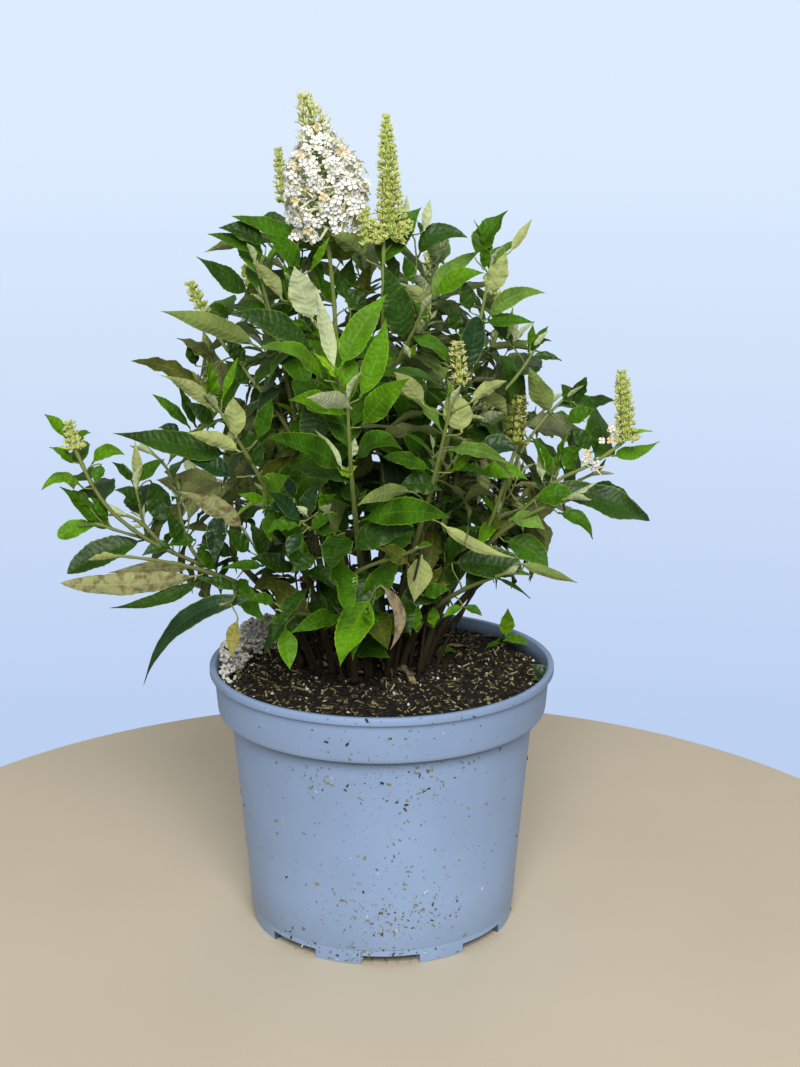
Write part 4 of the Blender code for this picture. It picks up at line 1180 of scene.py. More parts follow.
def leaf_style(name, number, leaf, rng):
    """How one leaf of the rule is bent, folded and coloured."""
    age = leaf.age
    young = math.exp(-age / 1.1)
    upper, lower = TONES[SPRAYS[name][number % len(SPRAYS[name])]]
    stage = min(3, int(max(0.0, age + rng.uniform(-0.7, 0.7)) / 1.5))
    fold = 0.16 + 0.45 * young + rng.uniform(-0.08, 0.12)
    curl = rng.uniform(0.0, 0.55) + 0.25 * min(age / 5, 1) - 0.3 * young
    return Blade(name, leaf.place, leaf.heading, leaf.upper, leaf.length, leaf.width, leaf.droop, curl,
                 rng.uniform(-0.35, 0.35), rng.uniform(-0.5, 0.5), fold, rng.uniform(0.0, 0.22) * (1 - young),
                 rng.uniform(0.04, 0.17) * (1 + 0.1 * age), 0.08 + 0.03 * rng.random(),
                 (upper[stage], lower[stage]), rng.random(), age)


def shoot_blades(name, number, place, way, heading, size, pairs, rng):
    """A short shoot in a leaf's axil: its path and its small leaves."""
    aim = (heading * 0.55 + way + UP * 0.15).normalized()
    length = size * rng.uniform(0.35, 0.75)
    path = bezier(place, (heading + way * 0.6).normalized(), place + aim * length * MM, aim, 5)
    blades, samples = [], list(path[2:])
    turn = rng.random() * math.pi
    for pair in range(pairs):
        back = length * MM * pair / max(pairs, 1) * 0.85
        spot, here = along(path, path_length(path) - back)
        across = perpendicular(here, path)
        for side in (0, 1):
            spin = turn + pair * math.pi / 2 + side * math.pi + rng.uniform(-0.4, 0.4)
            out = Matrix.Rotation(spin, 3, here) @ across
            opening = math.radians(14 + 22 * pair + rng.uniform(-8, 14))
            lead = (here * math.cos(opening) + out * math.sin(opening)).normalized()
            long = size * SHOOT_LEAF_SHARE * (0.75 + 0.5 * pair) * rng.uniform(0.75, 1.25)
            upper = here - lead * here.dot(lead) + UP * TURN_TO_LIGHT * 0.01
            leaf = Leaf(spot, here, lead, upper.normalized(), long, long * rng.uniform(0.26, 0.36),
                        math.radians(6 + 10 * pair) * rng.uniform(0.3, 1.5), pair * 0.8)
            blades.append(leaf_style(name, number, leaf, rng))
            samples += [spot + lead * long * share * MM for share in (0.35, 0.7, 1.0)]
    return path, blades, samples


def own_rng(*words):
    """Draws that belong to one use, so that a change elsewhere doesn't move them."""
    return random.Random(" ".join(map(str, words)))


class Plant:
    """What grows, worked out once and shared by the operators."""

    made = None

    def __init__(self):
        self.plans = plan_masses()
        self.portraits, twigs = portray(self.plans)
        kept = Kept(self.portraits)
        self.axes, grown = grow(self.plans, self.portraits, kept)
        self.blades, self.shoots = [], list(twigs)
        rng = own_rng("blades")
        for name, number, leaf in grown:
            self.blades.append(leaf_style(name, number, leaf, rng))
        for name, number, leaf in grown:
            rng = own_rng("shoot", name, number, round(leaf.place.x * 1e5), round(leaf.heading.z * 1e4))
            if leaf.age < 1.0 or rng.random() > SHOOT_CHANCE:
                continue
            size = min(SHOOT_LONGEST, SHOOT_FIRST + SHOOT_GROWTH * leaf.age) * rng.uniform(0.6, 1.25)
            pairs = 2 if size < 20 else 3 if size < 36 else 4
            path, blades, samples = shoot_blades(name, number, leaf.place, leaf.way, leaf.heading, size,
                                                 pairs, rng)
            if kept.refuses(samples):
                continue
            self.shoots.append((name, path))
            self.blades += blades
        self.inner_leaves(kept)
        self.fallen_leaves()

    def fallen_leaves(self):
        """Dead curled leaves on the soil round the stems, and a few still caught between them."""
        rng = own_rng("fallen")
        for number in range(bpy.context.scene.bush_plant.fallen_leaves):
            turn, reach = rng.uniform(0, 2 * math.pi), 14 + 40 * math.sqrt(rng.random())
            reach *= 0.6 if math.sin(turn) < 0.1 else 1.0
            rise = rng.uniform(2, 8) if number % 3 else rng.uniform(8, 60)
            place = Vector((CROWN_CENTRE[0] + reach * math.cos(turn),
                            CROWN_CENTRE[1] + reach * math.sin(turn), SOIL_TOP + rise)) * MM
            level = rng.uniform(-0.25, 0.35) if number % 3 else rng.uniform(-1.5, 0.3)
            spin = rng.uniform(0, 2 * math.pi)
            heading = Vector((math.cos(spin), math.sin(spin), level)).normalized()
            long = rng.uniform(14, 36)
            tones = rng.choice((("dead", "dead"), ("dead", "blotched"), ("withered", "dead"),
                                ("withered", "withered")))
            self.blades.append(Blade("front_foot", place, heading, UP, long, long * rng.uniform(0.22, 0.34),
                                     rng.uniform(0.0, 0.4), rng.uniform(-0.5, 2.4), rng.uniform(-1.2, 1.2),
                                     rng.uniform(-2.5, 2.5), rng.uniform(0.4, 1.1), rng.uniform(0.0, 0.6),
                                     rng.uniform(0.1, 0.4), 0.08, tones, rng.random(), 6.0))

    def inner_leaves(self, kept):
        """Old leaves lower down on the stems, inside the crown, in dark tones that are partly their age and
        partly painted shade.
        """
        for name, plan in self.plans.items():
            rng = own_rng("inner", name)
            whole, bare = plan["whole"], plan["bare"]
            distance = bare * INNER_FROM
            while distance < bare * 2.0:
                place, way = along(whole, distance)
                across = perpendicular(way, whole)
                turn = rng.random() * math.pi
                for side in (0, 1):
                    out = Matrix.Rotation(turn + side * math.pi + rng.uniform(-0.3, 0.3), 3, way) @ across
                    opening = math.radians(rng.uniform(55, 95))
                    heading = (way * math.cos(opening) + out * math.sin(opening)).normalized()
                    upper = (way - heading * way.dot(heading)).normalized()
                    long = rng.uniform(26, 50)
                    leaf = Leaf(place, way, heading, upper, long, long * 0.36,
                                math.radians(rng.uniform(10, 60)), 6.0)
                    if rng.random() < 0.8 and not kept.refuses(outline_samples(leaf)):
                        blade = leaf_style(name, 0, leaf, rng)
                        # Dark tones: partly old leaves, partly painted shade inside the crown.
                        tones = rng.choice((("deep", "sage"), ("deep", "sage"), ("blue", "sage"),
                                            ("olive", "blotched"), ("mid", "sage")))
                        self.blades.append(blade._replace(tones=tones))
                distance += rng.uniform(12, 20) * MM

    @classmethod
    def get(cls):
        """The plant, grown at the first call."""
        if cls.made is None:
            cls.made = cls()
        return cls.made


# Materials. The leaves' own pattern map has one unit for so many millimetres.
UV_UNIT = 100.0
VEIN_SPACING = 4.5


def per(size):
    """How many times a size in millimetres fits in a metre: the scale of a pattern that size."""
    return 1 / (size * MM)


def toned(colour, factor):
    """A colour made darker or lighter."""
    return tuple(min(1.0, c * factor) for c in colour)


def fill_inputs(tree, node, inputs):
    """Sets inputs of a node, each to a value or to another node's output."""
    for key, value in inputs.items():
        socket = node.inputs[key]
        if isinstance(value, bpy.types.NodeSocket):
            tree.links.new(value, socket)
        elif socket.type == "RGBA":
            socket.default_value = (*value[:3], 1.0)
        else:
            socket.default_value = value


def add_node(tree, kind, inputs=(), out=0, **settings):
    """One shader node with its settings and links; gives one of its outputs."""
    node = tree.nodes.new("ShaderNode" + kind)
    for key, value in settings.items():
        setattr(node, key, value)
    fill_inputs(tree, node, inputs if isinstance(inputs, dict) else dict(enumerate(inputs)))
    return node.outputs[out]


def new_material(name, roughness, **sockets):
    """A named material, with its tree and its shader, whose other sockets are set by name."""
    material = bpy.data.materials.new(name)
    material.use_nodes = True
    tree = material.node_tree
    shader = tree.nodes["Principled BSDF"]
    fill_inputs(tree, shader, {"Roughness": roughness})
    fill_inputs(tree, shader, {key.replace("_", " "): value for key, value in sockets.items()})
    return material, tree, shader


def leaf_material(name, blade, vein, blotch, blotch_share, roughness, felted, rim):
    """One side of a leaf, quilted between slanting side veins, paler along them, and mottled lighter and
    darker, partly as painted highlight and shade.

    The upper side is bare and half matt, so the light shows its quilting. The lower side is
    felted with fine hairs: pale, quite matt, with the veins raised and a faint sheen.
    """
    blade, vein, blotch, rim = map(linear, (blade, vein, blotch, rim))
    gloss = 0.06 if felted else 0.16 if roughness > 0.45 else 0.32
    material, tree, shader = new_material(name, roughness, Specular_IOR_Level=gloss)
    add = partial(add_node, tree)
    spread = add("UVMap", uv_map="millimetres")
    lengthwise, aside = add("SeparateXYZ", [spread]).node.outputs[:2]
    edge = add("SeparateXYZ", [add("UVMap", uv_map="share")], out=1)
    shade = add("Attribute", out="Fac", attribute_name="shade")
    # Side veins leave the midrib slanting and bend towards the tip.
    off = add("Math", [aside], operation="ABSOLUTE")
    bend = add("Math", [0.45, add("Math", [off, 1.8], operation="MULTIPLY")], operation="ADD")
    bent = add("Math", [off, bend], operation="MULTIPLY")
    stray = add("TexNoise", {"Vector": spread, "Scale": UV_UNIT / 11.0, "Detail": 2.0})
    slant = add("Math", [add("Math", [lengthwise, bent], operation="SUBTRACT"),
                         add("Math", [stray, 0.09], operation="MULTIPLY")], operation="ADD")
    turns = add("Math", [slant, math.pi * UV_UNIT / VEIN_SPACING], operation="MULTIPLY")
    wave = add("Math", [add("Math", [turns], operation="SINE")], operation="ABSOLUTE")
    side_vein = add("Math", [add("Math", [1.0, wave], operation="SUBTRACT"), 5.0], operation="POWER")
    veins = add("Math", [add("Math", [side_vein, 0.3], operation="MULTIPLY"),
                         add("MapRange", [edge, 0.10, 0.02])], operation="MAXIMUM", use_clamp=True)
    quilt = add("Math", [add("Math", [wave, 2.0], operation="POWER"), 0.2], operation="MULTIPLY")
    # Mottles: clouds over whole leaves, between a darker and a lighter tone that are partly painted shade and
    # painted highlight;
    # blotches of a few millimetres; and the net of fine veins, darker along its lines as partly painted shade
    # of the dimpled surface, which is drawn at 1.4 mm, coarser than it is, so that it shows.
    cloud = add("TexNoise", {"Vector": add("TexCoord", out="Object"), "Scale": per(17.0), "Detail": 3.0})
    blotch_size = 5.9 if blotch_share > 0.4 else 2.6
    speck = add("TexNoise", {"Vector": spread, "Scale": UV_UNIT / blotch_size, "Detail": 4.0})
    cells = add("TexVoronoi", {"Vector": spread, "Scale": UV_UNIT / 1.4}, feature="SMOOTH_F1")
    none, full = 0.62 - 0.3 * blotch_share, 0.72 - 0.2 * blotch_share
    # The darker and lighter tones are partly painted shade and painted highlight on the leaf.
    darker_and_painted_shade, lighter_and_painted_highlight = toned(blade, 0.8 if felted else 0.55), toned(blade, 1.12 if felted else 1.5)
    base = darker_and_painted_shade
    for share, colour in (
            (add("MapRange", [cloud, 0.38, 0.62]), lighter_and_painted_highlight),
            (add("MapRange", [shade, 0.0, 1.0, 0.0, 0.45]), lighter_and_painted_highlight),
            (quilt, darker_and_painted_shade),
            (add("MapRange", [speck, none, full, 0.0, min(1.0, 0.35 + blotch_share)]), blotch),
            (add("Math", [veins, 0.5], operation="MULTIPLY"), vein),
            (add("MapRange", [cells, 0.2, 0.7, 0.0, 0.42]), darker_and_painted_shade),
            (add("MapRange", [edge, 0.9, 1.0, 0.0, 0.8]), rim)):
        base = add("Mix", {0: share, 6: base, 7: colour}, out=2, data_type="RGBA")
    height = add("Math", [wave, 0.9], operation="POWER")
    if felted:
        height = add("Math", [1.0, height], operation="SUBTRACT")
        fill_inputs(tree, shader, {"Sheen Weight": 0.08, "Sheen Roughness": 0.6})
    height = add("Math", [height, add("Math", [cells, 0.7], operation="MULTIPLY")], operation="ADD")
    bump = add("Bump", {"Strength": 0.4, "Distance": 0.0006, "Height": height})
    fill_inputs(tree, shader, {"Base Color": base, "Normal": bump})
    return material


# Leaf sides: blade, vein, blotch, share of blotches, roughness, felted, margin.
LEAF_SIDES = {
    "fresh": ("#78A414", "#A0C83A", "#4E8010", 0.2, 0.46, False, "#A8D034"),
    "bright": ("#5A8C10", "#7EAA2E", "#2F5F08", 0.2, 0.48, False, "#92BC2C"),
    "mid": ("#3E6A0E", "#5F8A28", "#24480A", 0.25, 0.46, False, "#7EA42A"),
    "deep": ("#2A4A0E", "#466A22", "#41700E", 0.25, 0.44, False, "#6A8E2A"),
    "blue": ("#22401E", "#3C6238", "#162A10", 0.2, 0.4, False, "#7E9C54"),
    "felt": ("#6A8E38", "#94B464", "#4A7022", 0.2, 0.65, False, "#9CBC58"),
    "olive": ("#4E5C1A", "#7A8638", "#5A4420", 0.35, 0.5, False, "#848E3A"),
    "silver": ("#CDDAA8", "#E0E8C4", "#AEC080", 0.2, 0.9, True, "#BCCC70"),
    "pale": ("#B4C078", "#CED69C", "#8C9C4C", 0.2, 0.85, True, "#B4C454"),
    "sage": ("#869A50", "#A4B26C", "#607A30", 0.2, 0.85, True, "#92A840"),
    "blotched": ("#A8AE78", "#C0C692", "#6E4A30", 0.5, 0.8, True, "#8A7A3C"),
    "dead": ("#A29474", "#C6B896", "#5E4E38", 0.45, 0.9, True, "#7C6A4C"),
    "straw": ("#9C9850", "#C0BA78", "#6E5E2A", 0.3, 0.8, True, "#8C8C40"),
    "withered": ("#3C3020", "#5E4E34", "#241C12", 0.4, 0.9, False, "#4A3C26"),
}


def leaf_materials():
    """All leaf sides and the slot of each."""
    made, slots = [], {}
    for name, side in LEAF_SIDES.items():
        slots[name] = len(made)
        made.append(leaf_material("leaf_" + name, *side))
    return made, slots


def bark_material(name, low, high, low_z, high_z, tip):
    """Bark of soft wood in fine long ribs: dull olive brown at the foot, green where it is young."""
    low, high, tip = map(linear, (low, high, tip))
    material, tree, shader = new_material(name, 0.6)
    add = partial(add_node, tree)
    place = add("TexCoord", out="Object")
    height = add("SeparateXYZ", [place], out=2)
    # The ribs are under a millimetre wide and are drawn at 1.4 mm so that they show.
    stretched = add("Mapping", {"Vector": place, "Scale": (per(1.4), per(1.4), per(17.0))})
    streaks = add("TexNoise", {"Vector": stretched, "Scale": 1.0, "Detail": 5.0})
    base = low
    for share, colour in (
            (add("MapRange", [height, low_z, high_z]), high),
            (add("MapRange", [streaks, 0.45, 0.7, 0.0, 0.55]), toned(low, 0.45)),
            (add("SeparateXYZ", [add("UVMap", uv_map="share")]), tip)):
        base = add("Mix", {0: share, 6: base, 7: colour}, out=2, data_type="RGBA")
    bump = add("Bump", {"Strength": 0.6, "Distance": 0.0006, "Height": streaks})
    fill_inputs(tree, shader, {"Base Color": base, "Normal": bump})
    return material


def add_tube(heap, points, radii, sides, slot=0, youth=(0.0, 0.0), ribbed=0.0, seed=0):
    """A tube with rounded ribs and uneven girth along a path, closed at both ends."""
    rows = len(points)
    frames = []
    chord = points[-1] - points[0]
    across = chord.orthogonal().normalized()
    for i, point in enumerate(points):
        way = (points[min(i + 1, rows - 1)] - points[max(i - 1, 0)]).normalized()
        across = (across - way * across.dot(way)).normalized()
        frames.append((point, across.copy(), way.cross(across)))
    rings = []
    for i, (point, a, b) in enumerate(frames):
        ring = []
        for corner in range(sides):
            angle = 2 * math.pi * corner / sides
            swell = 1 + ribbed * math.cos(4 * angle) + ribbed * 0.7 * math.sin(i * 1.7 + corner * 2.1 + seed)
            ring.append(point + (a * math.cos(angle) + b * math.sin(angle)) * radii[i] * swell * MM)
        rings.append(ring)
    corners, faces = loft(rings)
    share = np.repeat(np.linspace(youth[0], youth[1], rows), sides)
    heap.add([tuple(c) for c in corners], faces, slot, shares=np.stack([share, share * 0], 1)[None])


# Stems: rows and corners of their mesh, knots along one and how much a knot swells it.
STEM_ROWS, STEM_SIDES, STEM_KNOTS, KNOT_SWELL = 22, 12, 3.3, 0.16
# Twigs: length of a row in millimetres, how much a node swells one, and how far along it.
TWIG_ROW, NODE_SWELL, NODE_REACH = 4.0, 0.28, 2.2
# Thin stems stand this far round the crown's centre, and are this tall, in millimetres.
THIN_STEM_REACH = 46.0
THIN_STEM_HEIGHTS = (25.0, 130.0)
# Leaves of a length from and to, in millimetres: rows, columns beside the midrib above and below, and
# depth of a tooth as a share of the half width.
FINENESS = ((34, 1e9, 24, 3, 2, 0.03), (18, 34, 14, 2, 1, 0.035), (0, 18, 8, 1, 1, 0.03))
SEEN_ROWS = 26


# Operators.
class MakeStems(bpy.types.Operator):
    """Stems with ribs, nodes and a flared foot, from the soil to the masses of leaves"""

    bl_idname = "bush.stems"
    bl_label = "Stems"

    def execute(self, context):
        plant = Plant.get()
        heap = Heap()
        for number, (name, plan) in enumerate(plant.plans.items()):
            path = part_of_path(plan["stem"], 0.0, path_length(plan["stem"]), STEM_ROWS)
            radii = []
            for i in range(len(path)):
                share = i / (len(path) - 1)
                radius = (STEM_FOOT_RADIUS + (STEM_END_RADIUS - STEM_FOOT_RADIUS) * share) * STEM_SLIM
                radius *= 1 + (STEM_FLARE - 1) * math.exp(-share * 14)
                knot = (share * STEM_KNOTS + number * 0.37) % 1.0 - 0.5
                radius *= 1 + KNOT_SWELL * math.exp(-knot ** 2 / 0.004)
                radii.append(radius)
            add_tube(heap, path, radii, STEM_SIDES, 0, (0.0, 0.15), 0.035, number)
        # Old wood: brown at the soil, olive higher up, dull and finely ribbed.
        bark = bark_material("stem_bark", "#33291A", "#5C5A2C", 0.17, 0.28, "#6E7438")
        piece = heap.build("stems", [bark])
        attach(piece, BODY)
        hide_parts(*("stem_" + name for name in plant.plans))
        return {"FINISHED"}


class MakeTwigs(bpy.types.Operator):
    """Twigs that carry the leaves, down to the short shoots in the leaf axils"""

    bl_idname = "bush.twigs"
    bl_label = "Twigs"

    def execute(self, context):
        plant = Plant.get()
        sizes = context.scene.bush_plant
        heap = Heap()
        for name, plan in plant.plans.items():
            for number in plant.axes[name]:
                points, kind = plan["axes"][number]
                total = path_length(points)
                nodes = [total - back for back in node_places(total)]
                count = max(10, round(total / (TWIG_ROW * MM)))
                path = part_of_path(points, 0.0, total, count)
                if number == 0:
                    path[0] = plan["stem"][-1].copy()
                start = STEM_END_RADIUS * (0.86 if number == 0 else 0.6)
                start *= 0.62 if (name, number) in AXES_SEEN else 1.0
                end = TWIG_TIP_RADIUS * (0.55 if kind == "leafy" else 0.75)
                radii = []
                for i in range(count + 1):
                    here = total * i / count
                    near = min([abs(here - spot) for spot in nodes] or [1.0])
                    radius = start + (end - start) * i / count
                    radii.append(radius * (1 + NODE_SWELL * math.exp(-(near / (NODE_REACH * MM)) ** 2)))
                add_tube(heap, path, radii, 8, 0, (0.1 if number == 0 else 0.25, 0.85), 0.05, number)
        self.thin_stems(heap)
        for number, (name, path) in enumerate(plant.shoots):
            count = len(path)
            radii = [sizes.shoot_radius * 1000 * (1 - 0.35 * i / count) for i in range(count)]
            add_tube(heap, path, radii, 5, 0, (0.4, 1.0), 0.0, number)
        # Green young bark that pales towards the shoots, and grey brown wood that has died.
        bark = bark_material("young_bark", "#3E3E1A", "#66742A", 0.2, 0.46, "#8C9C52")
        dead = bark_material("dead_wood", "#2E241A", "#5A4A30", 0.17, 0.34, "#5A4A30")
        piece = heap.build("twigs", [bark, dead])
        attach(piece, BODY)
        return {"FINISHED"}

    def thin_stems(self, heap):
        """Slim woody shoots and dead stubs among the stems."""
        rng = own_rng("thin stems")
        for number in range(bpy.context.scene.bush_plant.thin_stems):
            angle, reach = rng.uniform(0, 2 * math.pi), THIN_STEM_REACH * math.sqrt(rng.random())
            out = Vector((math.cos(angle), math.sin(angle), 0))
            foot = Vector((CROWN_CENTRE[0], CROWN_CENTRE[1], 0)) + out * reach
            foot.z = SOIL_TOP - 4
            height = rng.uniform(*THIN_STEM_HEIGHTS)
            spread = out * height * rng.uniform(0.1, 0.5)
            side = Vector((rng.uniform(-8, 8), rng.uniform(-8, 8), 0))
            way = (UP + out * 0.2).normalized()
            path = bezier(foot * MM, way, (foot + spread + side + UP * height) * MM,
                          (UP + out * rng.uniform(-0.2, 0.9)).normalized(), 12)
            thick = rng.uniform(0.7, 1.6)
            radii = [thick * (1 - 0.6 * i / 12) * (1 + 0.25 * (i % 4 == 2)) for i in range(13)]
            add_tube(heap, path, radii, 6, 1, (0.0, 0.0), 0.06, number)


class MakeFoliage(bpy.types.Operator):
    """Leaves in opposite pairs, two-sided, toothed and veined"""

    bl_idname = "bush.foliage"
    bl_label = "Leaves"

    def execute(self, context):
        plant = Plant.get()
        materials, slots = leaf_materials()
        for piece_name, masses in FOLIAGE.items():
            heap = Heap()
            mine = [b for b in plant.blades if b.mass in masses]
            for low, high, rows, half, under, tooth in FINENESS:
                group = [b for b in mine if low <= b.length < high]
                if group:
                    add_blades(heap, group, midribs(group, rows), rows, half, under, slots, tooth)
            shown = [pair for pair in plant.portraits if pair[0].mass in masses]
            paths = np.stack([path for _, path in shown], 1) if shown else None
            add_blades(heap, [blade for blade, _ in shown], paths, SEEN_ROWS, 3, 2, slots, 0.026, 9)
            piece = heap.build(piece_name, materials)
            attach(piece, BODY)
            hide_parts(*("leaves_" + name for name in masses))
        return {"FINISHED"}


def bud_shape(sides, length, radius):
    """A bud that points along z, from its stalk at the origin."""
    rings = []
    for share, size in ((0.0, 0.4), (0.38, 1.0), (0.8, 0.75)):
        rings.append([Vector((radius * size * math.cos(2 * math.pi * k / sides),
                              radius * size * math.sin(2 * math.pi * k / sides), length * share))
                      for k in range(sides)])
    points, faces = loft(rings, Vector((0, 0, length)))
    return np.array([tuple(p) for p in points]), faces


def floret_shape(lobe=2.9, tube=7.0):
    """A four-lobed floret that faces along z: slim tube below, spread lobes, a small throat.

    Lobes are in slot 0, the tube in 1 and the throat in 2.
    """
    points, faces, slots = [], [], []
    for z, radius in ((-tube, 0.4), (-tube * 0.3, 0.62), (0.0, 0.85)):
        points += [(radius * math.cos(math.pi / 2 * k), radius * math.sin(math.pi / 2 * k), z)
                   for k in range(4)]
    for row in range(2):
        for k in range(4):
            j = (k + 1) % 4
            faces.append((row * 4 + k, row * 4 + j, row * 4 + 4 + j, row * 4 + 4 + k))
            slots.append(1)
    faces += [(3, 2, 1, 0), (8, 9, 10, 11)]
    slots += [1, 2]
    for k in range(4):
        turn = math.pi / 2 * k + math.pi / 4
        c, s = math.cos(turn), math.sin(turn)
        first = len(points)
        half = ((0.6, 0.42, 0.0), (1.6, 1.15, 0.3), (lobe * 0.88, 0.95, 0.05))
        rim = [*half, (lobe, 0.0, -0.25), *((x, -y, z) for x, y, z in reversed(half))]
        for x, y, z in rim + [(1.8, 0.0, 0.12), (1.8, 0.0, -0.2)]:
            points.append((x * c - y * s, x * s + y * c, z))
        for i in range(7):
            j = (i + 1) % 7
            faces += [(first + j, first + i, first + 7), (first + i, first + j, first + 8)]
            slots += [0, 0]
    return np.array(points), faces, slots


def turned_copies(shape, places, ways, sizes, rng):
    """Copies of a shape in millimetres with its z along each way, spun at random."""
    ways = normalised(np.asarray(ways, float))
    helper = np.where(np.abs(ways[:, 2:3]) < 0.9, np.array([[0, 0, 1.0]]), np.array([[1.0, 0, 0]]))
    a = normalised(np.cross(helper, ways))
    b = np.cross(ways, a)
    spin = rng.random(len(ways)) * 2 * math.pi
    c, s = np.cos(spin)[:, None], np.sin(spin)[:, None]
    x_way, y_way = a * c + b * s, b * c - a * s
    scaled = shape[None] * np.asarray(sizes, float).reshape(len(ways), -1)[:, None, :]
    turned = (scaled[..., :1] * x_way[:, None] + scaled[..., 1:2] * y_way[:, None]
              + scaled[..., 2:3] * ways[:, None])
    return np.asarray(places)[:, None] + turned * MM


def plain_material(name, colour, roughness, second=None, grain=2.5, bump=0.0):
    """A matt finish, its colour broken by a second one in grains so many millimetres wide."""
    colour, second = (linear(c) if isinstance(c, str) else c for c in (colour, second))
    material, tree, shader = new_material(name, roughness)
    add = partial(add_node, tree)
    speck = add("TexNoise", {"Vector": add("TexCoord", out="Object"), "Scale": per(grain), "Detail": 3.0})
    shares = {0: add("MapRange", [speck, 0.4, 0.62]), 6: colour, 7: second or toned(colour, 0.7)}
    fill_inputs(tree, shader, {"Base Color": add("Mix", shares, out=2, data_type="RGBA")})
    if bump:
        fill_inputs(tree, shader, {"Normal": add("Bump", {"Strength": 0.5, "Distance": bump,
                                                          "Height": speck})})
    return material


def square_to(way):
    """Two directions square to a way and to each other."""
    first = np.array(Vector(way).orthogonal().normalized())
    return first, np.cross(np.array(way), first)


class Buds:
    """Buds gathered by their places, to be added as copies of one shape."""

    def __init__(self, seed):
        self.rng = np.random.default_rng(seed)
        self.places, self.ways, self.sizes, self.slots = [], [], [], []

    def cluster(self, heart, out, way, reach, amount, size, tones):
        """Buds round a heart, most of them outwards and up."""
        for _ in range(amount):
            aim = out * 0.85 + way + self.rng.normal(0, 0.36, 3)
            aim = aim / np.linalg.norm(aim)
            self.places.append(heart + aim * reach * self.rng.uniform(0.02, 0.42) * MM)
            self.ways.append(aim)
            self.sizes.append((size, size, size * self.rng.uniform(0.8, 1.5)))
            self.slots.append(int(self.rng.choice(tones)))

    def build(self, name, shape, faces, materials):
        """One mesh object of all the buds."""
        heap = Heap()
        heap.add(turned_copies(shape, self.places, self.ways, self.sizes, self.rng), faces,
                 np.repeat(np.array(self.slots)[:, None], len(faces), 1))
        return heap.build(name, materials)


